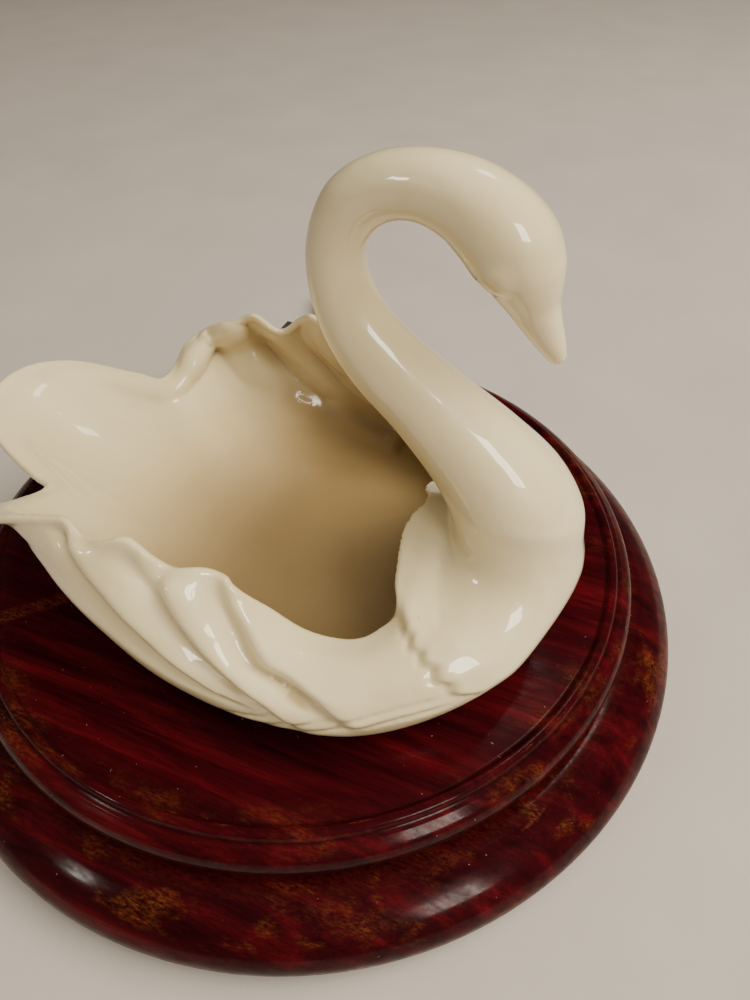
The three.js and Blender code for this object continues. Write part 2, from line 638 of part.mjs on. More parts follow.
function buildLeadFittings() {
  const { barrel, flange, bore } = GROMMET;
  addPiece("platform_grommet", turned([
    [bore, DISC_BOTTOM + 1], [barrel, DISC_BOTTOM + 1], [barrel, BASE_HEIGHT + GAP],
    [flange, BASE_HEIGHT + GAP], [flange - 0.6, BASE_HEIGHT + 1.7], [bore, BASE_HEIGHT + 1.9],
    [bore, DISC_BOTTOM + 1],
  ], 16), rubber()).position.set(CORD_HOLE.x, CORD_HOLE.y, 0);

  const bushing = turned([
    [BUSHING.bore, BUSHING.inner], [BUSHING.barrel, BUSHING.inner],
    [BUSHING.barrel, 114.8], [BUSHING.flange, 114.8], [BUSHING.flange - 0.8, BUSHING.outer],
    [BUSHING.bore, BUSHING.outer], [BUSHING.bore, BUSHING.inner],
  ], 16).rotateY(Math.PI / 2);
  const bushingPiece = addPiece("rear_bushing", bushing, rubber());
  bushingPiece.rotation.z = EXIT_ANGLE * DEG;
  bushingPiece.position.z = EXIT_Z;

  // saddle over the lead, screwed up into the underside of the disc
  const saddle = new THREE.Shape();
  const under = DISC_BOTTOM - GAP;
  const innerR = CORD_RADIUS + 0.45;
  saddle.moveTo(9.5, under);
  saddle.lineTo(9.5, under - 1.2);
  saddle.lineTo(innerR + 1.2, under - 1.2);
  saddle.lineTo(innerR + 1.2, CLAMP.cordZ);
  saddle.absarc(0, CLAMP.cordZ, innerR + 1.2, 0, -Math.PI, true);
  saddle.lineTo(-innerR - 1.2, under);
  saddle.lineTo(-innerR, under);
  saddle.lineTo(-innerR, CLAMP.cordZ);
  saddle.absarc(0, CLAMP.cordZ, innerR, -Math.PI, 0, false);
  saddle.lineTo(innerR, under);
  saddle.closePath();
  const clamp = extruded(saddle, CLAMP.width)
    .rotateX(Math.PI / 2)
    .translate(CLAMP.x, CLAMP.y + CLAMP.width / 2, 0);
  const clampHole = post(CLAMP.x + 6.5, CLAMP.y, 1.6, under - 3, under + 1, 12);
  addPiece("cord_clamp", cut(clamp, [clampHole]), steel());

  const head = under - 1.2 - GAP;
  addPiece("clamp_screw", turned([
    [0, head - 1.6], [1.8, head - 1.4], [2.6, head], [1.3, head], [1.3, head + 7], [0, head + 9],
  ], 12), steel()).position.set(CLAMP.x + 6.5, CLAMP.y, 0);
}

/** Point and direction of one end of the switch (+1 or -1 along its length). */
function switchEnd(side, reach) {
  const direction = onCircle(1, SWITCH.angle);
  const height = SWITCH_SPLIT + GAP / 2;
  return new THREE.Vector3(SWITCH.x, SWITCH.y, height).addScaledVector(direction, side * reach);
}

function buildLampSideLead() {
  const halfSwitch = SWITCH.length / 2;
  const points = [
    new THREE.Vector3(-37, LAMP_Y, LAMP_Z),
    new THREE.Vector3(-46.5, LAMP_Y, LAMP_Z),
    new THREE.Vector3(-52.5, LAMP_Y, LAMP_Z - 2.5),
    new THREE.Vector3(CORD_HOLE.x, CORD_HOLE.y, LAMP_Z - 8.5),
    new THREE.Vector3(CORD_HOLE.x, CORD_HOLE.y, 34),
    new THREE.Vector3(CORD_HOLE.x, CORD_HOLE.y, 27),
    new THREE.Vector3(CORD_HOLE.x, CORD_HOLE.y, 20),
    new THREE.Vector3(-51, 52.5, 13.5),
    new THREE.Vector3(-43, 43, 13.5),
    new THREE.Vector3(CLAMP.x, CLAMP.y - 6, CLAMP.cordZ),
    new THREE.Vector3(CLAMP.x, CLAMP.y, CLAMP.cordZ),
    new THREE.Vector3(CLAMP.x, CLAMP.y + 6, CLAMP.cordZ),
    new THREE.Vector3(-33, 63, 12.5),
    onCircle(84, EXIT_ANGLE, EXIT_Z),
    onCircle(104, EXIT_ANGLE, EXIT_Z),
    onCircle(117, EXIT_ANGLE, EXIT_Z),
    onCircle(125, EXIT_ANGLE + 0.5, EXIT_Z - 1),
    switchEnd(1, halfSwitch + 6),
    switchEnd(1, halfSwitch),
    switchEnd(1, SWITCH_CORD_REACH),
  ];
  addPiece("lamp_side_lead", lead(points, 84), cordBrown());
}

function buildPlugSideLead() {
  const along = onCircle(1, BUNDLE.angle);
  const across = onCircle(1, BUNDLE.angle - 90);
  const centre = new THREE.Vector3(BUNDLE.x, BUNDLE.y, 0);
  const bundlePoint = (a, b, z) =>
    centre.clone().addScaledVector(along, a).addScaledVector(across, b).setZ(z);
  const halfSwitch = SWITCH.length / 2;
  const outside = onCircle(1, SWITCH.angle + 90);
  const pastSwitch = (reach, away) =>
    switchEnd(1, reach).addScaledVector(outside, away).setZ(CORD_LIE);
  const points = [
    switchEnd(-1, SWITCH_CORD_REACH),
    switchEnd(-1, halfSwitch),
    switchEnd(-1, halfSwitch + 4).setZ(6),
    pastSwitch(-halfSwitch - 7, 5),
    pastSwitch(-halfSwitch - 5, 12),
    pastSwitch(-halfSwitch + 5, 15.5),
    pastSwitch(8, 15.5),
    bundlePoint(-BUNDLE.half, -BUNDLE.turn, BUNDLE.lie),
  ];
  // racetrack turns, each one lying on the last and climbing in the near bend
  const bend = BUNDLE.turn * Math.SQRT1_2;
  const turns = 2;
  for (let turn = 0; turn < turns; turn += 1) {
    const z = BUNDLE.lie + turn * BUNDLE.layer;
    points.push(bundlePoint(0, -BUNDLE.turn, z));
    points.push(bundlePoint(BUNDLE.half, -BUNDLE.turn, z));
    points.push(bundlePoint(BUNDLE.half + bend, -bend, z));
    points.push(bundlePoint(BUNDLE.half + BUNDLE.turn, 0, z));
    points.push(bundlePoint(BUNDLE.half + bend, bend, z));
    points.push(bundlePoint(BUNDLE.half, BUNDLE.turn, z));
    points.push(bundlePoint(0, BUNDLE.turn, z));
    if (turn < turns - 1) {
      points.push(bundlePoint(-BUNDLE.half, BUNDLE.turn, z));
      points.push(bundlePoint(-BUNDLE.half - bend, bend, z + BUNDLE.layer * 0.3));
      points.push(bundlePoint(-BUNDLE.half - BUNDLE.turn, 0, z + BUNDLE.layer * 0.65));
      points.push(bundlePoint(-BUNDLE.half - bend, -bend, z + BUNDLE.layer));
      points.push(bundlePoint(-BUNDLE.half, -BUNDLE.turn, z + BUNDLE.layer));
    }
  }
  const plugBack = new THREE.Vector3(PLUG.x, PLUG.y, PLUG.bottom + PLUG.height / 2)
    .addScaledVector(onCircle(1, PLUG.angle), -PLUG.length / 2);
  const plugDirection = onCircle(1, PLUG.angle);
  points.push(bundlePoint(-BUNDLE.half, BUNDLE.turn, BUNDLE.lie + BUNDLE.layer - 0.3));
  points.push(plugBack.clone().addScaledVector(plugDirection, -5));
  points.push(plugBack);
  points.push(plugBack.clone().addScaledVector(plugDirection, 6));
  addPiece("plug_side_lead", lead(points, 150), cordBrown());

  const inside = CORD_RADIUS + TIE.slack;
  const insideWidth = 2 * (BUNDLE.turn + inside);
  const insideHeight = BUNDLE.layer + 2 * inside;
  const bothSides = 2 * TIE.thickness;
  const band = roundedRectangle(insideWidth + bothSides, insideHeight + bothSides, 3);
  band.holes.push(roundedRectangle(insideWidth, insideHeight, 2.2));
  const tie = extruded(band, TIE.width).translate(0, 0, -TIE.width / 2).rotateX(Math.PI / 2);
  const tiePiece = addPiece("lead_tie", tie, rubber());
  tiePiece.rotation.z = (BUNDLE.angle - 90) * DEG;
  tiePiece.position.set(BUNDLE.x, BUNDLE.y, BUNDLE.lie + BUNDLE.layer / 2);
}

function buildSwitch() {
  const body = new THREE.Group();
  body.position.set(SWITCH.x, SWITCH.y, 0);
  body.rotation.z = SWITCH.angle * DEG;
  root.add(body);

  const outline = roundedRectangle(SWITCH.length, SWITCH.width, 6);
  const half = (bottom, top) => extruded(outline, top - bottom, 5).translate(0, 0, bottom);
  const cordHeight = SWITCH_SPLIT + GAP / 2;
  const wheelBottom = cordHeight - WHEEL.thickness / 2;
  const wheelTop = wheelBottom + WHEEL.thickness;
  const halfLength = SWITCH.length / 2;
  const tools = [
    post(0, WHEEL.offset, WHEEL.radius + 0.6, wheelBottom - 0.4, wheelTop + 0.4, 24),
    post(0, WHEEL.offset, SPINDLE_RADIUS + GAP, 2, 12, 12),
    post(-halfLength + 5.5, -4.5, 1.6, SWITCH.bottom - 1, SWITCH.top + 1, 12),
  ];
  for (const side of [-1, 1]) {
    const from = side < 0 ? -halfLength - 1 : SWITCH_CORD_REACH - 0.6;
    const to = side < 0 ? -SWITCH_CORD_REACH + 0.6 : halfLength + 1;
    tools.push(barX(0, cordHeight, CORD_RADIUS + GAP, from, to, 12));
    const pocket = new THREE.BoxGeometry(5.6, 3.6, 4.6);
    tools.push(pocket.translate(side * 11, -4.6, cordHeight));
    const strip = new THREE.BoxGeometry(5, 0.8, 4);
    const name = side < 0 ? "switch_contact_in" : "switch_contact_out";
    addPiece(name, strip.translate(side * 11, -4.6, cordHeight), brass(), body);
  }
  addPiece("switch_lower_shell", cut(half(SWITCH.bottom, SWITCH_SPLIT), tools), phenolic(), body);
  const upper = half(SWITCH_SPLIT + GAP, SWITCH.top);
  addPiece("switch_upper_shell", cut(upper, tools), phenolic(), body);

  // serrated thumbwheel
  const teeth = 24;
  const wheelShape = new THREE.Shape();
  for (let i = 0; i < teeth * 2; i += 1) {
    const radius = i % 2 === 0 ? WHEEL.radius : WHEEL.radius - 0.6;
    const { x, y } = onCircle(radius, (i * 180) / teeth);
    if (i === 0) wheelShape.moveTo(x, y);
    else wheelShape.lineTo(x, y);
  }
  wheelShape.closePath();
  wheelShape.holes.push(new THREE.Path().absarc(0, 0, WHEEL.bore, 0, 2 * Math.PI));
  const wheel = extruded(wheelShape, WHEEL.thickness).translate(0, 0, wheelBottom);
  addPiece("switch_wheel", wheel, phenolic(), body).position.y = WHEEL.offset;

  const spindle = post(0, WHEEL.offset, SPINDLE_RADIUS, 2.4, 11.6, 12);
  addPiece("switch_spindle", spindle, brass(), body);

  const screw = turned([
    [0, 1.4], [1.2, 1.4], [1.2, SWITCH.top + GAP], [2.8, SWITCH.top + GAP],
    [2.4, SWITCH.top + 1.2], [0, SWITCH.top + 1.5],
  ], 12);
  addPiece("switch_screw", screw, steel(), body).position.set(-halfLength + 5.5, -4.5, 0);
}

function buildPlug() {
  const plug = new THREE.Group();
  plug.position.set(PLUG.x, PLUG.y, PLUG.bottom + PLUG.height / 2);
  plug.rotation.z = PLUG.angle * DEG;
  root.add(plug);

  const half = PLUG.length / 2;
  const section = roundedRectangle(PLUG.height, PLUG.width, 4.5);
  const body = extruded(section, PLUG.length, 4).translate(0, 0, -half).rotateY(Math.PI / 2);
  const tools = [barX(0, 0, CORD_RADIUS + GAP, -half - 1, -half + 6.6, 12)];
  for (const side of [-1, 1]) {
    const y = (side * BLADE.spacing) / 2;
    const length = BLADE.root + GAP;
    const slot = new THREE.BoxGeometry(length + 1, BLADE.thickness + 0.6, BLADE.height + 0.6);
    tools.push(slot.translate(half - length + (length + 1) / 2, y, 0));
    const total = BLADE.length + BLADE.root;
    const blade = new THREE.BoxGeometry(total, BLADE.thickness, BLADE.height);
    const name = side < 0 ? "plug_blade_right" : "plug_blade_left";
    addPiece(name, blade.translate(half - BLADE.root + total / 2, y, 0), brass(), plug);
  }
  addPiece("plug_body", cut(body, tools), phenolic(), plug);
}

buildBase();
buildSwan();
buildLamp();
buildLeadFittings();
buildLampSideLead();
buildPlugSideLead();
buildSwitch();
buildPlug();

export default root;
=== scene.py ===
"""Looks of a television lamp: a glazed swan dish on a turned and lacquered mahogany base.

Shapes are worked out in millimetres in the frame of the CAD part and stored in metres.
"""

import math

import bmesh
import bpy
import numpy as np
from mathutils import Matrix, Vector


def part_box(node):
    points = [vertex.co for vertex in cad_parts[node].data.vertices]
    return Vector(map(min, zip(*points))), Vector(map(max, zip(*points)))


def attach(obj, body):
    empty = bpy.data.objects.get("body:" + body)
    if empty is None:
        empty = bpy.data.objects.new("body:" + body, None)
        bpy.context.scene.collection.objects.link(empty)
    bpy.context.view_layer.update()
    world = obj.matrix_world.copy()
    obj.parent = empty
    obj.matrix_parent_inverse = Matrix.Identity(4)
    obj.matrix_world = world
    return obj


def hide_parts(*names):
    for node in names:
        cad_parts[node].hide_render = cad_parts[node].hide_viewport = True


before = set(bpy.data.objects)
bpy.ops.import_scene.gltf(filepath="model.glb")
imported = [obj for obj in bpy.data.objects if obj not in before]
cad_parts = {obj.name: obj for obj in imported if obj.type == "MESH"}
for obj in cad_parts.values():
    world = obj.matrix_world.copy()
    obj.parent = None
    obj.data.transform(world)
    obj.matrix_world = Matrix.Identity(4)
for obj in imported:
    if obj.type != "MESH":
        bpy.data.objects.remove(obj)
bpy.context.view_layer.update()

MM = 0.001
DEG = math.pi / 180


# ------------------------------------------------------------------ mesh tools


def box_mm(node):
    """Lowest and highest corner of a CAD node, in millimetres."""
    low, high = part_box(node)
    return np.array(low) / MM, np.array(high) / MM


def middle_mm(node):
    low, high = box_mm(node)
    return (low + high) / 2


def mesh_piece(name, points, faces, smooth=True):
    """Object from points in millimetres and faces."""
    mesh = bpy.data.meshes.new(name)
    mesh.from_pydata((np.asarray(points, float) * MM).tolist(), [], faces)
    mesh.validate()
    shape = bmesh.new()
    shape.from_mesh(mesh)
    bmesh.ops.recalc_face_normals(shape, faces=shape.faces)
    shape.to_mesh(mesh)
    shape.free()
    piece = bpy.data.objects.new(name, mesh)
    bpy.context.scene.collection.objects.link(piece)
    mesh.polygons.foreach_set("use_smooth", [smooth] * len(mesh.polygons))
    return piece


def ring_faces(rows, columns, closed=False):
    """Quads between rings of points stored ring after ring."""
    row = np.arange(rows if closed else rows - 1)[:, None]
    column = np.arange(columns)[None, :]
    after = (row + 1) % rows
    beside = (column + 1) % columns
    corners = [row * columns + column, row * columns + beside]
    corners += [after * columns + beside, after * columns + column]
    return np.stack(corners, -1).reshape(-1, 4).tolist()


def lofted(name, rings, closed=False):
    """Solid through equal rings; open ends are capped with a polygon."""
    rings = np.asarray(rings, float)
    rows, columns = rings.shape[:2]
    faces = ring_faces(rows, columns, closed)
    if not closed:
        faces.append(list(range(columns))[::-1])
        faces.append(list(range((rows - 1) * columns, rows * columns)))
    return mesh_piece(name, rings.reshape(-1, 3), faces)


def baked(piece):
    """Applies the piece's modifiers."""
    graph = bpy.context.evaluated_depsgraph_get()
    mesh = bpy.data.meshes.new_from_object(piece.evaluated_get(graph))
    piece.modifiers.clear()
    piece.data = mesh
    return piece


def settle(piece, finish, body, slot, *nodes):
    """Gives a piece its finish and its CAD body, and hides the CAD nodes it stands for."""
    piece.data.materials.clear()
    piece.data.materials.append(finish)
    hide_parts(*nodes)
    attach(piece, body)
    return piece


# ------------------------------------------------------------- material tools


class Finish:
    """A node material under construction."""

    def __init__(self, name):
        self.material = bpy.data.materials.new(name)
        self.material.use_nodes = True
        self.nodes = self.material.node_tree.nodes
        self.links = self.material.node_tree.links
        self.shader = self.nodes["Principled BSDF"]
        self.place = self.add("ShaderNodeTexCoord").outputs["Object"]

    def add(self, kind, **settings):
        node = self.nodes.new(kind)
        for key, value in settings.items():
            setattr(node, key, value)
        return node

    def feed(self, socket, value):
        if isinstance(value, bpy.types.NodeSocket):
            self.links.new(value, socket)
        else:
            socket.default_value = value

    def set(self, **values):
        for key, value in values.items():
            self.feed(self.shader.inputs[key.replace("_", " ")], value)

    def stretched(self, scale, turn=(0, 0, 0)):
        """Object coordinates in millimetres, scaled along each axis."""
        mapping = self.add("ShaderNodeMapping")
        self.feed(mapping.inputs["Vector"], self.place)
        mapping.inputs["Scale"].default_value = [v / MM for v in scale]
        mapping.inputs["Rotation"].default_value = turn
        return mapping.outputs["Vector"]

    def noise(self, vector, scale, detail=3.0, rough=0.5, distortion=0.0):
        node = self.add("ShaderNodeTexNoise")
        self.feed(node.inputs["Vector"], vector)
        node.inputs["Scale"].default_value = scale
        node.inputs["Detail"].default_value = detail
        node.inputs["Roughness"].default_value = rough
        node.inputs["Distortion"].default_value = distortion
        return node.outputs["Fac"]

    def ramp(self, factor, *stops):
        """Colour ramp; each stop is a place and a grey value or a colour."""
        node = self.add("ShaderNodeValToRGB")
        self.feed(node.inputs["Fac"], factor)
        elements = node.color_ramp.elements
        while len(elements) < len(stops):
            elements.new(0.5)
        for element, (place, colour) in zip(elements, stops):
            element.position = place
            grey = isinstance(colour, (int, float))
            element.color = (colour, colour, colour, 1) if grey else (*colour, 1)
        return node.outputs["Color"]

    def mix(self, factor, first, second, blend="MIX"):
        node = self.add("ShaderNodeMix", data_type="RGBA", blend_type=blend)
        self.feed(node.inputs["Factor"], factor)
        for socket, value in ((node.inputs[6], first), (node.inputs[7], second)):
            self.feed(socket, (*value, 1) if isinstance(value, tuple) else value)
        return node.outputs[2]

    def maths(self, operation, first, second=0.0, clamp=False):
        node = self.add("ShaderNodeMath", operation=operation, use_clamp=clamp)
        self.feed(node.inputs[0], first)
        self.feed(node.inputs[1], second)
        return node.outputs["Value"]

    def pointiness(self, low, high):
        """0 in hollows to 1 on edges."""
        geometry = self.add("ShaderNodeNewGeometry")
        return self.ramp(geometry.outputs["Pointiness"], (low, 0.0), (high, 1.0))

    def bump(self, height, depth, strength=1.0):
        """Bump whose full height is depth in millimetres."""
        node = self.add("ShaderNodeBump")
        self.feed(node.inputs["Height"], height)
        node.inputs["Distance"].default_value = depth * MM
        node.inputs["Strength"].default_value = strength
        self.feed(self.shader.inputs["Normal"], node.outputs["Normal"])
        return node.outputs["Normal"]


# ---------------------------------------------------------------- the swan

BODY_CENTRE_X = 12.0
PLATFORM = 34.0
PLATFORM_RADIUS = 90.3
SWAN_FOOT = 35.1
BOWL_FLOOR = 40.4
RECESS = 37.4
FOOT_WIDTH = 4.5
RIM_THICKNESS = 2.3
WALL_THICKNESS = 3.4
COLUMNS = 960
VOXEL = 0.55

# rim of one half: along the swan, out from its mid-plane, height
RIM = [
    (43.9, 0, 73.4), (41.5, 6.4, 70.5), (41.3, 12.9, 67.6), (42.3, 20.4, 65.6),
    (44.3, 26.8, 64.1), (44.6, 28.8, 61.2), (42.2, 31.5, 58.8), (38.6, 35.1, 57.6),
    (32.5, 37.2, 56.8), (25.4, 39.3, 59.4), (18.8, 40.8, 65.0), (13.8, 42.5, 69.8),
    (9.8, 43.4, 73.6), (5.8, 43.6, 75.8), (2.2, 44.9, 76.4), (-3.8, 46.3, 76.2),
    (-8.8, 47.5, 80.6), (-12.8, 48.3, 83.1), (-18.3, 48.8, 81.1), (-24.3, 47.9, 79.1),
    (-31.3, 47.2, 81.4), (-39.3, 47.7, 78.8), (-48.1, 48.5, 75.2), (-55, 48.4, 72.1),
    (-59, 43.6, 68.8), (-57.6, 35.3, 65.5), (-56.7, 27.3, 63.6), (-62.2, 25.7, 64.3),
    (-71.1, 22.8, 65.7), (-81, 18.1, 68.5), (-88.5, 9.8, 70.8), (-90.9, 0, 71.6),
]

# hull: angle, then radius and height of the low turn, widest line, shoulder
# and upper line
HULL = [
    (0, 54.2, 39.8, 71.0, 58.4, 65.8, 73.8, 48, 75.7),
    (20, 55.2, 39.2, 69.0, 54.9, 61, 66.4, 47.1, 67.0),
    (38, 57.0, 39.0, 64.8, 48.9, 60.3, 58.6, 50.6, 61.4),
    (55, 57.0, 38.8, 61.8, 47.6, 58.1, 55.1, 51.7, 58.0),
    (75, 54.4, 38.4, 58.3, 46.3, 55.6, 53.3, 49.5, 57.7),
    (95, 53.2, 39.0, 58.6, 47.4, 55.7, 58, 49.6, 67.5),
    (115, 54.8, 41.2, 63.7, 54.5, 62.9, 64.2, 58, 73.8),
    (133, 56, 45.8, 69.4, 62.1, 69.7, 69.8, 67, 76.4),
    (146, 55.7, 46, 71.7, 60.2, 75.8, 65.2, 78.9, 68.6),
    (159, 53.5, 45.5, 63.6, 52.3, 68.7, 56.9, 71.8, 60.5),
    (170, 55.4, 44.7, 73.3, 53.4, 83.3, 59.7, 91.3, 65.5),
    (180, 55.3, 44.2, 77.1, 53.1, 89, 60.5, 97, 66.7),
]
FOOT_RADIUS = [(0, 40), (60, 33), (90, 31), (180, 28)]
FLOOR_RADIUS = [(0, 33), (60, 34), (90, 30), (180, 26)]

# overlapping feathers outside the near wing: step at a line of (angle, height)
LAP_STEP = 3.0
LAP_EDGE = 2.6
LAP_RUN = 8.5
TROUGH_DEPTH = 1.8
TROUGH_HALF_WIDTH = 3.4
LAPS = [
    [(70, 40), (78.5, 49.4), (85, 52.8), (94, 58.5), (101, 65.2), (107, 72.3), (114.5, 81)],
    [(58, 44), (67.5, 53), (72.2, 54.9), (80, 57.4), (86.8, 64.1), (91.5, 69.5), (95, 76)],
    [(79, 45), (84, 47.4), (94, 50.5), (103, 56), (111, 63), (118, 69), (124, 73.4), (131, 80)],
]

# thin grooves low on the hull, lines of (angle, height)
GROOVE_DEPTH = 0.6
GROOVE_HALF_WIDTH = 0.55
GROOVES = [
    [(36, 53.5), (48.5, 52.2), (59, 50), (70, 46.8), (79.5, 44.3), (92, 42.5)],
    [(36, 51), (49, 49.4), (59.2, 47), (70, 43.6), (82, 40.6), (92, 39.2)],
]

# scalloped edge of the bib: (height share, angle)
BIB_EDGE = [(0.44, 33.5), (0.5, 37), (0.57, 39), (0.66, 40), (0.75, 41), (0.9, 40.5), (1, 39.5)]
SCOOP_DEPTH = 3.2
FAR_RIM_LIFT = 6.4
FAR_DIP_LIFT = 1.8
FAR_TIP_TRIM = 0.085  # the far wing's tip is this share shorter
BIB_STEP = 1.6
BIB_SCALLOPS = 6
BIB_SCALLOP_DEPTH = 1.7

# pleats of the far wing: outward push, half width and line of (angle, height)
PLEATS = [
    (-1.2, 3.2, [(147.8, 51), (148.8, 55.5), (149.2, 61), (150.2, 67)]),
    (1.7, 3.2, [(139, 54), (140.2, 59), (141.8, 66.3), (143.8, 71.2)]),
    (-2.1, 3.6, [(129.5, 51), (133.8, 57.7), (136.2, 64.6), (138.8, 73.4)]),
    (2.5, 3.2, [(115.2, 47.5), (121.2, 52.3), (126.5, 59.7), (130.2, 69.4), (134.2, 78.3)]),
    (-2.4, 4.4, [(108, 48), (115, 56), (121, 67), (127, 80.1)]),
    (1.9, 3.0, [(110, 56), (115, 64), (119.5, 72), (120.8, 78)]),
    (-1.6, 3.0, [(103, 58), (109, 68), (114, 80)]),
]

# neck and head: along the swan, height, radius, from the breast to the beak
NECK = [
    (66.5, 58, 13.5), (65.7, 70.2, 15.6), (61.4, 80.8, 14.6), (52.9, 90.8, 12.1),
    (40.6, 101.4, 9.6), (29.9, 110.1, 8.5), (23.4, 118, 7.5), (20.1, 126.6, 6.6),
    (19.7, 134.4, 6.1), (23.2, 142.7, 6.2), (29.6, 147.3, 6.1), (37.2, 148.8, 6.4),
    (44.8, 147.5, 7.4), (50.8, 144.2, 8.4), (54.9, 140.3, 8.7), (57.3, 136.9, 7.9),
    (58.5, 134.4, 6.9), (59.4, 132.3, 6.0), (60.6, 129.6, 4.8), (62.8, 125.8, 3.7),
    (65.2, 122.0, 2.6), (66.9, 119.2, 1.5),
]


def smooth_table(rows):
    """Smooth curve through rows of (place, values...), level at both ends."""
    table = np.array(rows, float)
    places, values = table[:, 0], table[:, 1:]
    slopes = np.zeros_like(values)
    slopes[1:-1] = (values[2:] - values[:-2]) / (places[2:] - places[:-2])[:, None]

    def at(place):
        place = np.clip(place, places[0], places[-1])
        k = np.clip(np.searchsorted(places, place, "right") - 1, 0, len(places) - 2)
        width = (places[k + 1] - places[k])[..., None]
        t = ((place - places[k]) / (places[k + 1] - places[k]))[..., None]
        ease = t * t * (3 - 2 * t)
        bend = slopes[k] * (t**3 - 2 * t**2 + t) + slopes[k + 1] * (t**3 - t**2)
        return values[k] * (1 - ease) + values[k + 1] * ease + bend * width

    return at


def rim_rows():
    rows = []
    for along, aside, height in RIM:
        reach = along - BODY_CENTRE_X
        rows.append((math.atan2(aside, reach) / DEG, math.hypot(aside, reach), height))
    return rows


rim_at = smooth_table(rim_rows())
hull_at = smooth_table(HULL)
foot_at = smooth_table(FOOT_RADIUS)
floor_at = smooth_table(FLOOR_RADIUS)


def smoothstep(value, low, high):
    t = np.clip((value - low) / (high - low), 0, 1)
    return t * t * (3 - 2 * t)


def across_line(angle, height, line):
    """Degrees from a line of (angle, height) at the same height."""
    table = np.array(line, float)
    return angle - smooth_table(table[:, ::-1])(height)[..., 0]


def lap_push(angle, height):
    """Feathers lying over each other, each with a step at its back edge."""
    push = np.zeros_like(height)
    for line in LAPS:
        across = across_line(angle, height, line)
        start = line[0][1]
        fade = smoothstep(height, start - 1, start + 12)
        step = np.tanh(across / LAP_EDGE) * np.exp(-np.abs(across) / LAP_RUN)
        trough = np.exp(-(((across - 1.6) / TROUGH_HALF_WIDTH) ** 2))
        push -= fade * (LAP_STEP * step + TROUGH_DEPTH * trough)
    return push


def pleat_push(angle, height):
    """Soft pleats on the inner face of the far wing."""
    push = np.zeros_like(height)
    for amount, width, line in PLEATS:
        across = across_line(angle, height, line)
        start = line[0][1]
        fade = smoothstep(height, start - 10, start + 14)
        push += amount * fade * np.exp(-((across / width) ** 2))
    return push


def groove_push(angle, height):
    push = np.zeros_like(height)
    for line in GROOVES:
        places, heights = np.array(line, float).T
        above = (height - np.interp(angle, places, heights)) / GROOVE_HALF_WIDTH
        fade = smoothstep(angle, places[0], places[0] + 8) * (1 - smoothstep(angle, 84, 92))
        push -= GROOVE_DEPTH * fade * np.exp(-(above**2))
    return push


def bib_push(angle, share):
    """The breast feathers stand proud of the hull along a scalloped edge."""
    shares, places = np.array(BIB_EDGE, float).T
    start = shares[0]
    beat = np.sin(math.pi * BIB_SCALLOPS * (share - start) / (1 - start))
    wave = np.sqrt(beat**2 + 0.06)
    wave = (wave - 0.6) * (1 - smoothstep(share, 0.82, 0.92))
    across = angle - np.interp(share, shares, places) - BIB_SCALLOP_DEPTH * wave
    step = 0.5 - 0.5 * np.tanh(across / 1.1)
    hollow = 0.6 * np.exp(-((across - 1.0) ** 2))
    fade = smoothstep(share, start - 0.06, start + 0.03) * (1 - 0.85 * smoothstep(share, 0.9, 1))
    return fade * (BIB_STEP * step * np.exp(np.minimum(across, 0) / 12) - hollow)


def up_the_wall(controls, share):
    """Catmull-Rom curve up stacked (radius, height) controls."""
    stack = np.stack(controls)
    stack = np.concatenate([[2 * stack[0] - stack[1]], stack, [2 * stack[-1] - stack[-2]]])
    spans = len(controls) - 1
    place = share * spans
    k = np.clip(np.floor(place).astype(int), 0, spans - 1)
    t = (place - k)[..., None]
    column = np.broadcast_to(np.arange(stack.shape[1]), k.shape)
    a, b, c, d = (stack[k + step, column] for step in range(4))
    line = 2 * b + (c - a) * t + (2 * a - 5 * b + 4 * c - d) * t**2
    return 0.5 * (line + (3 * b - a - 3 * c + d) * t**3)


def round_the_body(profile, turn, mid_y):
    """Points from (radius, height) columns at their angles."""
    x = BODY_CENTRE_X + profile[..., 0] * np.cos(turn)
    y = mid_y + profile[..., 0] * np.sin(turn)
    return np.stack([x, y, profile[..., 1]], -1)


def outer_profile(degrees, share):
    """Radius and height of the outer wall, going round all 360 degrees."""
    angle = np.minimum(degrees, 360 - degrees)
    hull, foot = hull_at(angle), foot_at(angle)
    rim = rim_at(angle) - np.array([0, RIM_THICKNESS / 2])
    trim = np.where(degrees > 180, 0, FAR_TIP_TRIM * np.exp(-(((angle - 147) / 9) ** 2)))
    shorter = np.stack([1 - trim, np.ones_like(trim)], -1)
    lift = FAR_RIM_LIFT * np.exp(-(((angle - 108) / 9) ** 2))
    lift += FAR_DIP_LIFT * np.exp(-(((angle - 110) / 4) ** 2))
    lift = np.where(degrees > 180, 0, lift)
    rim = rim + np.stack([np.zeros_like(lift), lift], -1)
    controls = [np.concatenate([foot, np.full_like(foot, SWAN_FOOT)], -1)]
    controls += [hull[:, k : k + 2] for k in (0, 2, 4)]
    controls += [hull[:, 6:8] * shorter, rim * shorter]
    wall = up_the_wall(controls, share)
    angle = np.broadcast_to(angle, share.shape)
    near = degrees > 180
    push = np.where(near, lap_push(angle, wall[..., 1]), pleat_push(angle, wall[..., 1]))
    push = push * (1 - 0.55 * smoothstep(share, 0.84, 1))
    scoop = np.exp(-(((angle - 17) / 14) ** 2) - ((share - 0.77) / 0.10) ** 2)
    wall[..., 1] -= SCOOP_DEPTH * scoop
    push = push * smoothstep(angle, 50, 60) * (1 - smoothstep(angle, 152, 160))
    relief = push + groove_push(angle, wall[..., 1]) + bib_push(angle, share)
    slope = np.gradient(wall, axis=0)
    slope /= np.linalg.norm(slope, axis=-1, keepdims=True)
    facing = np.stack([slope[..., 1], -slope[..., 0]], -1)
    return wall + facing * relief[..., None]


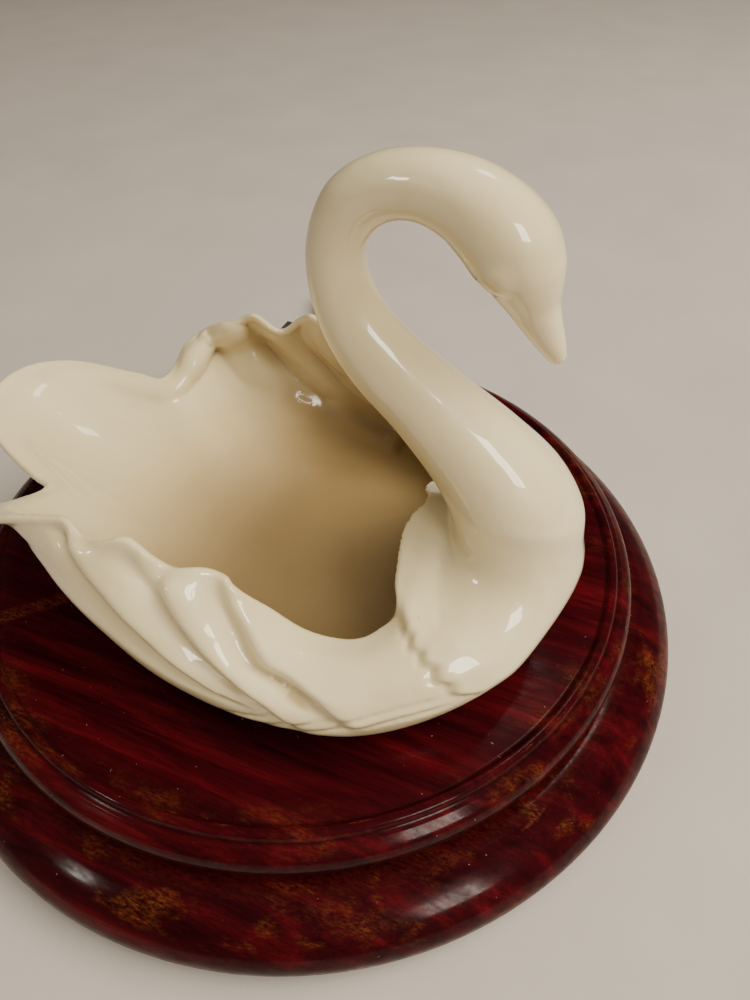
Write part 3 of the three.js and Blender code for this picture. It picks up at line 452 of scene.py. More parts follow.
def breast_lining(angle, share):
    """Back of the bib, where the wall is thick: a plain slope from rim to floor."""
    rim = rim_at(angle) - np.array([RIM_THICKNESS, RIM_THICKNESS / 2])
    floor = np.concatenate([floor_at(angle), np.full((len(angle), 1), BOWL_FLOOR + 2)], -1)
    slope = 0.5 * (rim + floor) + np.array([3.0, 0])
    near_floor = 0.25 * rim + 0.75 * floor + np.array([3.5, 0])
    return up_the_wall([floor, near_floor, slope, rim], share)


def wall_normals(grid):
    """Outward unit normals of rows going up and columns going round."""
    up = np.gradient(grid, axis=0)
    around = np.roll(grid, -1, axis=1) - np.roll(grid, 1, axis=1)
    normal = np.cross(around, up)
    return normal / np.linalg.norm(normal, axis=-1, keepdims=True)


def rolled_rim(outer, inner, rise, steps):
    """Half round from the top of the outer wall over to the inner wall."""
    half = (outer - inner) / 2
    reach = np.linalg.norm(half, axis=-1, keepdims=True)
    turns = np.linspace(0, math.pi, steps + 2)[1:-1, None, None]
    return (outer + inner) / 2 + half * np.cos(turns) + rise * reach * np.sin(turns)


def swan_rings(mid_y):
    degrees = np.arange(COLUMNS) * 360 / COLUMNS
    angle, turn = np.minimum(degrees, 360 - degrees), degrees * DEG
    share = np.tile(np.linspace(0, 1, 240)[:, None], COLUMNS)
    outer = round_the_body(outer_profile(degrees, share), turn, mid_y)
    up = outer[-1] - outer[-2]
    up /= np.linalg.norm(up, axis=-1, keepdims=True)

    lining_share = np.tile(np.linspace(0.24, 1, 180)[:, None], COLUMNS)
    lined = round_the_body(outer_profile(degrees, lining_share), turn, mid_y)
    depth = RIM_THICKNESS + (WALL_THICKNESS - RIM_THICKNESS) * smoothstep(1 - lining_share, 0, 0.3)
    lining = lined - wall_normals(lined) * depth[..., None]
    height = (lining_share - 0.24) / 0.76
    breast = round_the_body(breast_lining(angle, height), turn, mid_y)
    back = smoothstep(angle, 20, 46)[None, :, None]
    lining = lining * back + breast * (1 - back)

    foot, floor = foot_at(angle)[:, 0], floor_at(angle)[:, 0]

    def flat(radius, level):
        profile = np.stack([radius, np.full(COLUMNS, level)], -1)
        return round_the_body(profile, turn, mid_y)[None]

    return np.concatenate([
        flat(np.full(COLUMNS, 2.0), RECESS),
        flat(foot - FOOT_WIDTH, RECESS),
        flat(foot - FOOT_WIDTH + 0.6, SWAN_FOOT + 0.5),
        flat(foot - FOOT_WIDTH + 1.2, SWAN_FOOT),
        outer,
        rolled_rim(outer[-1], lining[-1], up, 7),
        lining[::-1],
        0.7 * lining[:1] + 0.3 * flat(floor, BOWL_FLOOR) - np.array([0, 0, 0.9]),
        0.35 * lining[:1] + 0.65 * flat(floor, BOWL_FLOOR) - np.array([0, 0, 0.7]),
        flat(floor, BOWL_FLOOR),
        flat(floor / 2, BOWL_FLOOR),
        flat(np.full(COLUMNS, 2.0), BOWL_FLOOR),
    ])


def neck_rings(mid_y, steps=260, sides=96):
    line = np.array(NECK, float)
    run = np.concatenate([[0], np.cumsum(np.hypot(*np.diff(line[:, :2], axis=0).T))])
    curve = smooth_table(np.column_stack([run, line]))
    place = np.linspace(0, run[-1], steps)
    centre = curve(place)
    tangent = np.gradient(centre[:, :2], axis=0)
    tangent /= np.linalg.norm(tangent, axis=1, keepdims=True)
    turn = np.arange(sides) * 2 * math.pi / sides
    radius = centre[:, 2:3]
    x = centre[:, 0:1] + tangent[:, 1:2] * radius * np.cos(turn)
    z = centre[:, 1:2] - tangent[:, 0:1] * radius * np.cos(turn)
    y = mid_y + radius * np.sin(turn)
    return np.stack([x, y, z], -1)


def fused(pieces, voxel):
    """One skin round overlapping pieces."""
    body = pieces[0]
    with bpy.context.temp_override(active_object=body, selected_editable_objects=pieces):
        bpy.ops.object.join()
    remesh = body.modifiers.new("skin", "REMESH")
    remesh.mode = "VOXEL"
    remesh.voxel_size = voxel * MM
    return baked(body)


def mesh_arrays(piece):
    """Points in millimetres and edges of a piece."""
    mesh = piece.data
    points = np.empty(len(mesh.vertices) * 3)
    mesh.vertices.foreach_get("co", points)
    edges = np.empty(len(mesh.edges) * 2, np.int32)
    mesh.edges.foreach_get("vertices", edges)
    return points.reshape(-1, 3) / MM, edges.reshape(-1, 2)


def store_points(piece, points):
    piece.data.vertices.foreach_set("co", (points * MM).ravel())
    piece.data.update()


def point_normals(piece):
    normals = np.empty(len(piece.data.vertices) * 3)
    piece.data.vertices.foreach_get("normal", normals)
    return normals.reshape(-1, 3)


def relaxed(points, edges, amount, rounds):
    """Moves points towards their neighbours' mean, by an amount for each point."""
    amount = np.broadcast_to(amount, len(points))
    near = (amount[edges] > 0).any(axis=1)
    moving, local = np.unique(edges[near], return_inverse=True)
    local = local.reshape(-1, 2)
    count = len(moving)
    degree = np.bincount(local.ravel(), minlength=count)[:, None]
    share = amount[moving][:, None]
    part = points[moving]
    for _ in range(rounds):
        total = np.empty_like(part)
        for axis in range(3):
            value = part[:, axis]
            total[:, axis] = np.bincount(local[:, 0], value[local[:, 1]], count)
            total[:, axis] += np.bincount(local[:, 1], value[local[:, 0]], count)
        part = part + share * (total / degree - part)
    result = points.copy()
    result[moving] = part
    return result


def evened(points, edges, rounds):
    """Smooths without shrinking."""
    for _ in range(rounds):
        points = relaxed(points, edges, 0.6, 1)
        points = 1.62 * points - 0.62 * relaxed(points, edges, 1.0, 1)
    return points


def blend_neck(points, edges, mid_y):
    """Runs the neck smoothly into the breast without touching the thin rim."""
    along, aside, height = points[:, 0], np.abs(points[:, 1] - mid_y), points[:, 2]
    reach = ((along - 67) / 17) ** 2 + (aside / 30) ** 2 + ((height - 62) / 19) ** 2
    clear_of_rim = smoothstep(along, 49, 54)
    amount = 0.9 * smoothstep(1.4 - reach, 0, 0.8) ** 1.5 * clear_of_rim
    points = relaxed(points, edges, amount, 650)
    saddle = np.exp(-(((along - 52) / 9) ** 2 + (aside / 20) ** 2 + ((height - 80) / 10) ** 2))
    return relaxed(points, edges, np.where(saddle > 0.1, np.clip(saddle, 0, 0.6), 0), 60)


def soften_floor(points, edges, mid_y):
    """Rounds the turn between the bowl's floor and its wall."""
    reach = np.hypot(points[:, 0] - BODY_CENTRE_X, points[:, 1] - mid_y)
    low = smoothstep(BOWL_FLOOR + 12 - points[:, 2], 0, 6)
    above_recess = smoothstep(points[:, 2], RECESS + 1, RECESS + 2)
    return relaxed(points, edges, 0.9 * low * above_recess * smoothstep(47 - reach, 0, 4), 160)


EYE = (53.6, 8.6, 136.8)
EYE_RADIUS = 3.4
EYE_HEIGHT = 0.7


def raise_eyes(points, normals, mid_y):
    away = points - np.array([0, mid_y, 0])
    away[:, 1] = np.abs(away[:, 1])
    apart = np.linalg.norm(away - np.array(EYE), axis=1)
    return points + normals * (EYE_HEIGHT * np.exp(-((apart / EYE_RADIUS) ** 4)))[:, None]


def store_glaze_pool_and_shade(piece, points, mid_y):
    """Marks glaze that ran together and painted shade in the bowl: 0 outside, growing to 1 in the
    bowl's depth.
    """
    normals = point_normals(piece)
    away = points - np.array([BODY_CENTRE_X, mid_y, 0])
    reach = np.hypot(away[:, 0], away[:, 1]) + 1e-6
    outward = (normals[:, 0] * away[:, 0] + normals[:, 1] * away[:, 1]) / reach
    angle = np.abs(np.arctan2(away[:, 1], away[:, 0])) / DEG
    beyond_rim = (reach > rim_at(angle)[:, 0] - 3) & (points[:, 2] > BOWL_FLOOR + 12)
    inner = np.where(beyond_rim, smoothstep(-outward, 0.4, 0.7), smoothstep(0.5 - outward, 0, 0.3))
    inner *= smoothstep(normals[:, 2], -0.3, 0.05)
    inner *= 1 - smoothstep(points[:, 0], 38, 43)
    inner *= smoothstep(points[:, 2], RECESS + 1, BOWL_FLOOR - 0.5)
    inner *= smoothstep(90 - points[:, 2], 0, 6)
    # painted shade: the mark grows deeper in the bowl and towards the breast, under the neck
    front = smoothstep(points[:, 0], -75, 0)
    depth = smoothstep(60 - points[:, 2], 0, 22)
    glaze_pool_and_shade = inner * (0.12 + 0.88 * depth) * (0.2 + 0.8 * front)
    store = piece.data.attributes.new("glaze_pool_and_shade", "FLOAT", "POINT")
    store.data.foreach_set("value", glaze_pool_and_shade.astype(np.float32))


def build_swan(glaze):
    mid_y = middle_mm("swan")[1]
    body = lofted("glazed_swan", swan_rings(mid_y))
    neck = lofted("neck", neck_rings(mid_y))
    swan = fused([body, neck], VOXEL)
    swan.name = "glazed_swan"
    points, edges = mesh_arrays(swan)
    points = evened(points, edges, 4)
    points = raise_eyes(points, point_normals(swan), mid_y)
    points = blend_neck(points, edges, mid_y)
    points = soften_floor(points, edges, mid_y)
    store_points(swan, points)
    store_glaze_pool_and_shade(swan, points, mid_y)
    swan.data.polygons.foreach_set("use_smooth", [True] * len(swan.data.polygons))
    return settle(swan, glaze, "swan_dish", "ivory_glaze", "swan")


def ivory_glaze():
    finish = Finish("ivory_glaze")
    glaze_pool_and_shade = finish.add("ShaderNodeAttribute", attribute_name="glaze_pool_and_shade").outputs["Fac"]
    cloud = finish.noise(finish.stretched((0.04, 0.04, 0.04)), 1.0, 4)
    tone = finish.ramp(cloud, (0.3, (0.77, 0.645, 0.37)), (0.7, (0.82, 0.70, 0.43)))
    # painted shade in the bowl, partly glaze pooled there: darker towards the bowl's depth
    depth = finish.ramp(
        glaze_pool_and_shade,
        (0.0, (1.0, 1.0, 1.0)),
        (0.35, (0.80, 0.72, 0.62)),
        (0.75, (0.50, 0.42, 0.32)),
        (1.0, (0.33, 0.265, 0.185)),
    )
    tone = finish.mix(1.0, tone, depth, "MULTIPLY")
    # darker in creases and hollows: partly glaze pooled there, partly painted shade
    crease_pooling_and_shade = finish.pointiness(0.40, 0.49)
    tone = finish.mix(crease_pooling_and_shade, finish.mix(1.0, tone, (0.55, 0.42, 0.28), "MULTIPLY"), tone)
    speck = finish.noise(finish.stretched((0.8, 0.8, 0.8)), 1.0, 2)
    pinhole = finish.ramp(speck, (0.76, 0.0), (0.80, 1.0))
    tone = finish.mix(finish.maths("MULTIPLY", pinhole, 0.5), tone, (0.30, 0.20, 0.10))
    finish.set(
        Base_Color=tone,
        Roughness=0.35,
        Coat_Weight=1.0,
        Coat_Roughness=0.025,
        Coat_IOR=1.55,
        Subsurface_Weight=0.10,
        Subsurface_Scale=0.002,
    )
    finish.shader.inputs["Subsurface Radius"].default_value = (1.0, 0.7, 0.4)
    ripple = finish.noise(finish.stretched((0.09, 0.09, 0.09)), 1.0, 2)
    orange_peel = finish.noise(finish.stretched((0.9, 0.9, 0.9)), 1.0, 1)
    surface = finish.maths("ADD", ripple, finish.maths("MULTIPLY", orange_peel, 0.012))
    finish.bump(surface, 0.9, 0.5)
    return finish.material


# ---------------------------------------------------------------- the base


def turned(name, profile, segments=360, x=0.0, y=0.0):
    """Solid of revolution about an upright axis from (radius, height) points."""
    profile = np.array(profile, float)
    turn = np.arange(segments) * 2 * math.pi / segments
    px = x + profile[:, 0:1] * np.cos(turn)
    py = y + profile[:, 0:1] * np.sin(turn)
    pz = np.repeat(profile[:, 1:2], segments, 1)
    return lofted(name, np.stack([px, py, pz], -1))


def rounded_profile(points, steps=10):
    """Catmull-Rom curve through profile points."""
    points = np.array(points, float)
    shares = np.linspace(0, 1, (len(points) - 1) * steps + 1)[:, None]
    return up_the_wall([p[None] for p in points], shares)[:, 0]


def build_base(wood):
    ring_low, ring_high = box_mm("base_foot_ring")
    disc_low, disc_high = box_mm("base_plinth_disc")
    torus = rounded_profile([
        (110.4, 1.5), (113.0, 3.8), (114.3, 9.0), (113.2, 12.9), (109.8, 16.4),
        (105.4, 18.9), (102.9, 19.8),
    ])
    ring = [(84.0, ring_low[2])] + torus.tolist()
    ring += [(102.4, ring_high[2]), (84.0, ring_high[2])]
    piece = turned("foot_ring", ring + [ring[0]])
    settle(piece, wood, "stand", "mahogany", "base_foot_ring")
    bead = rounded_profile([
        (96.8, disc_low[2]), (96.4, 22.0), (98.2, 24.2), (99.2, 27.4), (98.3, 30.6),
        (95.5, 32.8),
    ])
    small_bead = rounded_profile([(94.4, 32.9), (93.6, 34.3), (92.1, 34.7), (90.8, 33.8)])
    disc = [(1.0, disc_low[2])] + bead.tolist() + small_bead.tolist()
    disc += [(90.1, PLATFORM), (1.0, PLATFORM)]
    piece = turned("plinth_disc", disc)
    settle(piece, wood, "stand", "mahogany", "base_plinth_disc")


def mahogany():
    """Near-black red lacquer over figured wood, rubbed through on the mouldings."""
    finish = Finish("mahogany")
    figure = finish.noise(finish.stretched((0.018, 0.20, 0.20)), 1.0, 6, 0.62, 0.4)
    tone = finish.ramp(
        figure,
        (0.30, (0.012, 0.0, 0.001)),
        (0.52, (0.038, 0.001, 0.003)),
        (0.72, (0.095, 0.003, 0.006)),
    )
    fibre = finish.noise(finish.stretched((0.09, 2.6, 2.6)), 1.0, 4, 0.7)
    streak = finish.ramp(fibre, (0.40, 0.6), (0.62, 1.0))
    tone = finish.mix(1.0, tone, streak, "MULTIPLY")
    patch = finish.noise(finish.stretched((0.030, 0.045, 0.10)), 1.0, 5, 0.65)
    rubbed = finish.ramp(patch, (0.54, 0.0), (0.70, 1.0))
    crumbs = finish.ramp(
        finish.noise(finish.stretched((0.5, 1.6, 1.6)), 1.0, 6, 0.8), (0.44, 0.0), (0.60, 1.0)
    )
    apart = finish.add("ShaderNodeSeparateXYZ")
    finish.feed(apart.inputs["Vector"], finish.place)
    radius = finish.maths("SQRT", finish.maths(
        "ADD",
        finish.maths("MULTIPLY", apart.outputs["X"], apart.outputs["X"]),
        finish.maths("MULTIPLY", apart.outputs["Y"], apart.outputs["Y"]),
    ))
    outside = finish.maths("MULTIPLY", radius, 1 / (PLATFORM_RADIUS * MM))
    moulding = finish.ramp(
        finish.maths("MULTIPLY", outside, 0.5),
        (0.47, 0.0), (0.50, 0.35), (0.535, 0.45), (0.55, 0.7),
    )
    sheen = finish.ramp(moulding, (0.0, 0.25), (0.3, 0.95))
    amber = finish.maths("MULTIPLY", finish.maths("MULTIPLY", rubbed, crumbs), moulding)
    tone = finish.mix(amber, tone, (0.23, 0.066, 0.015))
    # painted shade: near-black in the grooves and hollows of the mouldings
    groove_shade = finish.pointiness(0.44, 0.495)
    tone = finish.mix(groove_shade, (0.006, 0.0006, 0.001), tone)
    edge = finish.maths("MULTIPLY", finish.pointiness(0.53, 0.60), crumbs)
    tone = finish.mix(finish.maths("MULTIPLY", edge, 0.5), tone, (0.16, 0.035, 0.016))
    dust = finish.noise(finish.stretched((1.1, 1.1, 1.1)), 1.0, 2)
    nick = finish.ramp(dust, (0.765, 0.0), (0.79, 1.0))
    tone = finish.mix(finish.maths("MULTIPLY", nick, 0.7), tone, (0.35, 0.22, 0.16))
    wear = finish.noise(finish.stretched((0.15, 0.5, 0.5)), 1.0, 6, 0.75)
    finish.set(
        Base_Color=tone,
        Roughness=0.5,
        Specular_IOR_Level=0.04,
        Coat_Weight=finish.maths("MULTIPLY", finish.ramp(wear, (0.35, 0.75), (0.65, 0.3)), sheen),
        Coat_Roughness=finish.ramp(wear, (0.35, 0.07), (0.65, 0.22)),
        Coat_IOR=1.33,
    )
    height = finish.maths("ADD", fibre, finish.maths("MULTIPLY", wear, 0.5))
    finish.bump(height, 0.12, 0.6)
    return finish.material


# ------------------------------------------------------ lamp, lead and fittings


def dense(rows, step=0.15):
    """Profile rows (radius, place, relief) with more rows between them."""
    rows = [tuple(row) + (0.0,) * (3 - len(row)) for row in rows]
    result = [rows[0]]
    for first, last in zip(rows, rows[1:]):
        span = math.hypot(last[0] - first[0], last[1] - first[1])
        count = max(1, round(span / step))
        for k in range(1, count + 1):
            share = k / count
            result.append(tuple(a + (b - a) * share for a, b in zip(first, last)))
    return result


def spun(name, profile, place, along="Z", sides=72, relief=None, closed=False):
    """Solid of revolution; the third profile value scales the relief on it."""
    table = np.array(profile, float)
    turn = np.arange(sides) * 2 * math.pi / sides
    radius = np.repeat(table[:, 0:1], sides, 1)
    reach = np.repeat(table[:, 1:2], sides, 1)
    if relief is not None:
        radius = radius + table[:, 2:3] * relief(turn[None, :], reach)
    a, b = radius * np.cos(turn), radius * np.sin(turn)
    rings = {"Z": (a, b, reach), "X": (reach, a, b)}[along]
    return lofted(name, np.stack(rings, -1) + np.array(place), closed)


def thread(pitch):
    """Helical ridge, 0 in the root and 1 on the crest."""
    return lambda turn, along: 0.5 + 0.5 * np.cos(turn - 2 * math.pi * along / pitch)


def ribs(count, sharpness=1.0):
    return lambda turn, along: (0.5 + 0.5 * np.cos(count * turn)) ** sharpness + 0 * along


def cad_piece(node, finish, bevel=0.0):
    """Keeps a CAD node, softens its edges and gives it a finish."""
    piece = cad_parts[node]
    piece.data.materials.clear()
    piece.data.materials.append(finish)
    if bevel:
        modifier = piece.modifiers.new("soft_edges", "BEVEL")
        modifier.width = bevel * MM
        modifier.segments = 3
        modifier.limit_method = "ANGLE"
        modifier.angle_limit = 40 * DEG
        modifier.harden_normals = True
    return piece


def round_lead(node, finish):
    """CAD lead with a truly round, smooth cover."""
    piece = cad_piece(node, finish)
    skin = piece.modifiers.new("skin", "REMESH")
    skin.mode = "VOXEL"
    skin.voxel_size = LEAD_VOXEL * MM
    skin.use_smooth_shade = True
    soften = piece.modifiers.new("soften", "SMOOTH")
    soften.factor = 0.5
    soften.iterations = 6
    return piece


def carve(piece, size, place, turn=0.0, along="Z"):
    """Cuts a box out of a piece."""
    mesh = bpy.data.meshes.new("cutter")
    shape = bmesh.new()
    bmesh.ops.create_cube(shape, size=1.0)
    shape.to_mesh(mesh)
    shape.free()
    cutter = bpy.data.objects.new("cutter", mesh)
    bpy.context.scene.collection.objects.link(cutter)
    lift = Matrix.Translation(Vector(place) * MM)
    scale = Matrix.Diagonal((*(Vector(size) * MM), 1))
    cutter.matrix_world = lift @ Matrix.Rotation(turn, 4, along) @ scale
    bpy.context.view_layer.update()
    modifier = piece.modifiers.new("slot", "BOOLEAN")
    modifier.object = cutter
    modifier.operation = "DIFFERENCE"
    modifier.solver = "EXACT"
    baked(piece)
    bpy.data.objects.remove(cutter)
    return piece


def flat_sided(piece, degrees=35):
    """Smooth shading with crisp creases."""
    piece.data.shade_smooth()
    piece.data.set_sharp_from_angle(angle=degrees * DEG)
    return piece


def wire(name, points, radius, sides=10):
    """Round wire through points."""
    points = np.asarray(points, float)
    ahead = np.gradient(points, axis=0)
    ahead /= np.linalg.norm(ahead, axis=1, keepdims=True)
    side = np.cross(ahead[0], [0.3, 0.5, 0.8])
    rings = []
    for point, direction in zip(points, ahead):
        side = side - direction * (side @ direction)
        side = side / np.linalg.norm(side)
        over = np.cross(direction, side)
        turn = (np.arange(sides) * 2 * math.pi / sides)[:, None]
        rings.append(point + radius * (np.cos(turn) * side + np.sin(turn) * over))
    return lofted(name, rings)


LEAD_VOXEL = 0.42
CANDELABRA_PITCH = 2.54


def build_felt(felt):
    low, high = box_mm("base_felt")
    edge = high[0]
    rows = [(1, low[2]), (edge - 0.5, low[2]), (edge, low[2] + 0.4), (edge, high[2] - 0.4)]
    rows += [(edge - 0.4, high[2]), (1, high[2])]
    fray = ribs(23)
    rows = [row + (0.0,) for row in rows]
    rows[2] = rows[2][:2] + (-0.25,)
    rows[3] = rows[3][:2] + (-0.25,)
    piece = spun("felt_disc", rows, (0, 0, 0), sides=240, relief=fray)
    settle(piece, felt, "stand", "felt", "base_felt")


def build_bracket(steel, brass):
    cad_piece("lamp_bracket", steel, 0.4)
    for number, turn in ((1, 25), (2, 70)):
        node = f"bracket_screw_{number}"
        low, high = box_mm(node)
        centre = (low + high) / 2
        top = high[2]
        head = (high[0] - low[0]) / 2
        shank_top = top - 2.0
        rows = dense([(0.3, low[2]), (1.1, low[2] + 2.4, 0.4), (1.1, shank_top, 0.4)])
        rows += [(1.5, shank_top, 0), (head, shank_top, 0), (head, shank_top + 0.35, 0)]
        for share in (20, 40, 60, 80):
            dome = share * DEG
            rows.append((head * math.cos(dome), shank_top + 0.35 + 1.6 * math.sin(dome), 0))
        screw = spun(f"round_head_{number}", rows, (centre[0], centre[1], 0), relief=thread(1.2))
        carve(screw, (0.9, 7, 1.6), (centre[0], centre[1], top), turn * DEG)
        flat_sided(screw)
        settle(screw, steel, "stand", "steel", node)
    low, high = box_mm("socket_nipple")
    place = (0, *((low + high) / 2)[1:])
    outer = (high[1] - low[1]) / 2
    bore = outer - 1.8
    rows = dense([
        (bore, low[0]), (outer - 0.6, low[0]), (outer - 0.4, low[0] + 0.4, 0.4),
        (outer - 0.4, high[0] - 0.4, 0.4), (outer - 0.6, high[0]), (bore, high[0]),
    ])
    piece = spun("threaded_nipple", rows, place, "X", relief=thread(0.94), closed=True)
    settle(piece, brass, "stand", "brass", "socket_nipple")
    build_nut(brass)


def build_nut(brass):
    low, high = box_mm("socket_nut")
    place = (0, *((low + high) / 2)[1:])
    corner = 8.0
    flat = corner * math.cos(math.pi / 6)

    def six_sides(turn, along):
        wedge = (turn + math.pi / 6) % (math.pi / 3) - math.pi / 6
        return flat / np.cos(wedge) - flat + 0 * along

    rows = [(5.1, low[0]), (flat, low[0]), (flat, low[0] + 0.5, 1), (flat, high[0] - 0.5, 1)]
    rows += [(flat, high[0]), (5.1, high[0])]
    rows = [tuple(row) + (0.0,) * (3 - len(row)) for row in rows]
    piece = spun("hexagon_nut", rows, place, "X", 96, six_sides, closed=True)
    flat_sided(piece, 25)
    settle(piece, brass, "stand", "brass", "socket_nut")


def build_lampholder(phenolic, brass):
    low, high = box_mm("lampholder_body")
    place = (0, *((low + high) / 2)[1:])
    back, front, radius = low[0], high[0], (high[1] - low[1]) / 2
    bore, floor = 7.3, back + 9.7
    rows = dense([
        (5.1, back), (radius - 1.8, back), (radius - 0.9, back + 0.6),
        (radius - 0.5, back + 2.0), (radius - 0.5, back + 5.5), (radius - 0.9, back + 6.2),
        (radius - 0.9, back + 6.8), (radius - 0.5, back + 7.6, 0.5),
        (radius - 0.5, front - 6.5, 0.5), (radius - 0.9, front - 5.6),
        (radius - 0.9, front - 5.0), (radius - 0.1, front - 4.3),
        (radius - 0.1, front - 0.8), (radius - 0.7, front - 0.1), (bore + 0.7, front),
        (bore, front - 0.6), (bore, floor), (2.4, floor), (2.4, back + 4.7),
        (5.1, back + 4.7), (5.1, back),
    ], 0.4)
    piece = spun("lampholder", rows, place, "X", 144, ribs(36), closed=True)
    settle(piece, phenolic, "stand", "phenolic", "lampholder_body")
    low, high = box_mm("lampholder_screw_shell")
    rows = dense([
        (6.5, low[0]), (6.95, low[0]), (6.55, low[0] + 1.2, 0.42), (6.55, high[0] - 1.6, 0.42),
        (6.95, high[0] - 0.6), (6.98, high[0]), (6.7, high[0]), (6.65, high[0] - 0.6),
        (6.25, high[0] - 1.6, 0.42), (6.25, low[0] + 1.2, 0.42), (6.5, low[0]),
    ], 0.25)
    shell_thread = thread(CANDELABRA_PITCH)
    piece = spun("screw_shell", rows, place, "X", 96, shell_thread, closed=True)
    settle(piece, brass, "stand", "brass", "lampholder_screw_shell")
    cad_piece("lampholder_contact", brass, 0.15)


def build_bulb(glass, brass, filament, phenolic, tin):
    low, high = box_mm("bulb_cap")
    place = (0, *((low + high) / 2)[1:])
    tip, rim = low[0], high[0]
    rows = dense([
        (3.6, tip + 2.6), (4.9, tip + 3.7), (5.3, tip + 4.6, 0.1), (5.5, tip + 5.2, 0.55),
        (5.5, rim - 2.2, 0.55), (5.6, rim - 1.4, 0.0), (6.0, rim - 0.6), (6.05, rim),
        (5.7, rim), (5.4, rim - 1.6), (5.2, tip + 5.5), (3.4, tip + 3.4), (3.6, tip + 2.6),
    ], 0.2)
    cap_thread = thread(CANDELABRA_PITCH)
    piece = spun("cap_shell", rows, place, "X", 96, cap_thread, closed=True)
    settle(piece, brass, "bulb", "brass", "bulb_cap")
    rows = dense([
        (0.3, tip + 2.6), (2.0, tip + 0.9), (2.6, tip + 1.0), (3.8, tip + 2.4),
        (3.9, tip + 2.9), (3.3, tip + 3.3), (0.3, tip + 3.3),
    ], 0.3)
    insulator = spun("cap_insulator", rows, place, "X", 64)
    insulator.data.materials.append(phenolic)
    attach(insulator, "bulb")
    rows = dense([(0.2, tip + 0.1), (1.1, tip + 0.25), (1.8, tip + 0.8), (1.9, tip + 1.3)], 0.2)
    bead = spun("solder_contact", rows + [(0.2, tip + 1.4, 0)], place, "X", 48)
    bead.data.materials.append(tin)
    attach(bead, "bulb")
    build_envelope(glass, place)
    build_filament(filament, glass, place)


def build_envelope(glass, place):
    low, high = box_mm("bulb_glass")
    neck, tip, widest = low[0], high[0], (high[1] - low[1]) / 2
    outline = rounded_profile([
        (5.2, neck), (5.2, neck + 3.6), (6.9, neck + 7.6), (8.9, neck + 12.4),
        (widest, neck + 18.4), (9.0, tip - 8.4), (7.0, tip - 4.0), (3.9, tip - 1.0),
        (1.2, tip - 0.08),
    ], 8)
    wall = 0.7
    inside = [(max(r - wall, 0.4), x - wall * 0.6 * (x > tip - 6)) for r, x in outline]
    rows = [tuple(row) for row in outline] + [(0.3, tip), (0.3, tip - wall)] + inside[::-1]
    rows = [row + (0.0,) for row in rows]
    piece = spun("bulb_envelope", rows + rows[:1], place, "X", 96, closed=False)
    settle(piece, glass, "bulb", "bulb_glass", "bulb_glass")


def build_filament(filament, glass, place):
    low, high = box_mm("bulb_stem")
    rows = [(0.3, low[0]), (1.6, low[0] + 0.3), (3.4, -14.6), (3.5, -13.6), (1.6, -9.2)]
    rows += [(1.2, -3), (1.5, -2.3), (1.2, high[0]), (0.3, high[0])]
    outline = [tuple(row) for row in rounded_profile(rows, 6)]
    stem = spun("glass_stem", outline, place, "X", 48)
    settle(stem, glass, "bulb", "bulb_glass", "bulb_stem")
    low, high = box_mm("bulb_filament")
    turn = np.linspace(-1, 1, 900)
    reach = (high[1] - low[1]) / 2 - 0.75
    arc = turn * math.pi / 2
    coil = turn * 46 * math.pi
    x = low[0] + 0.5 + 3.6 * np.cos(arc) + 0.28 * np.cos(coil)
    y = place[1] + reach * np.sin(arc)
    z = place[2] + 0.28 * np.sin(coil) - 1.0 * np.sin(arc) * np.cos(arc)
    piece = wire("filament_coil", np.stack([x, y, z], -1), 0.07, 6)
    settle(piece, filament, "bulb", "filament", "bulb_filament")
    for side, name in ((-1, "support_wire_left"), (1, "support_wire_right")):
        ends = [
            (-12.5, place[1] + side * 1.6, place[2]),
            (-6.0, place[1] + side * 2.2, place[2]),
            (-1.0, place[1] + side * reach * 0.97, place[2]),
            (x[0], place[1] + side * reach, place[2]),
        ]
        post = wire(name, smooth_path(ends, 12), 0.14, 8)
        post.data.materials.append(filament)
        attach(post, "bulb")
    hook = wire("support_hook", smooth_path([
        (-2.0, place[1], place[2] + 0.4), (1.2, place[1], place[2] + 0.6),
        (x.max() - 0.2, place[1], place[2] + 0.3),
    ], 12), 0.1, 8)
    hook.data.materials.append(filament)
    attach(hook, "bulb")


def smooth_path(points, steps):
    """Catmull-Rom curve through points in space."""
    points = np.asarray(points, float)
    ends = np.concatenate([[2 * points[0] - points[1]], points, [2 * points[-1] - points[-2]]])
    path = []
    for k in range(len(points) - 1):
        a, b, c, d = ends[k : k + 4]
        for t in np.arange(steps) / steps:
            line = 2 * b + (c - a) * t + (2 * a - 5 * b + 4 * c - d) * t**2
            path.append(0.5 * (line + (3 * b - a - 3 * c + d) * t**3))
    return path + [points[-1]]


def build_lead(rubber, lead_cover, steel):
    low, high = box_mm("platform_grommet")
    centre = (low + high) / 2
    flange = (high[0] - low[0]) / 2
    rows = rounded_profile([
        (2.6, low[2]), (4.3, low[2]), (4.3, PLATFORM + 0.35), (flange, PLATFORM + 0.4),
        (flange, PLATFORM + 1.1), (flange - 0.7, high[2] - 0.1), (3.4, high[2]),
        (2.7, high[2] - 0.5), (2.6, low[2]),
    ], 6)
    place = (centre[0], centre[1], 0)
    piece = spun("platform_grommet_ring", [tuple(r) for r in rows], place, closed=True)
    settle(piece, rubber, "stand", "rubber", "platform_grommet")
    cad_piece("rear_bushing", rubber, 0.5)
    cad_piece("cord_clamp", steel, 0.25)
    cad_piece("clamp_screw", steel, 0.15)
    cad_piece("lead_tie", rubber, 0.3)
    round_lead("lamp_side_lead", lead_cover)
    round_lead("plug_side_lead", lead_cover)


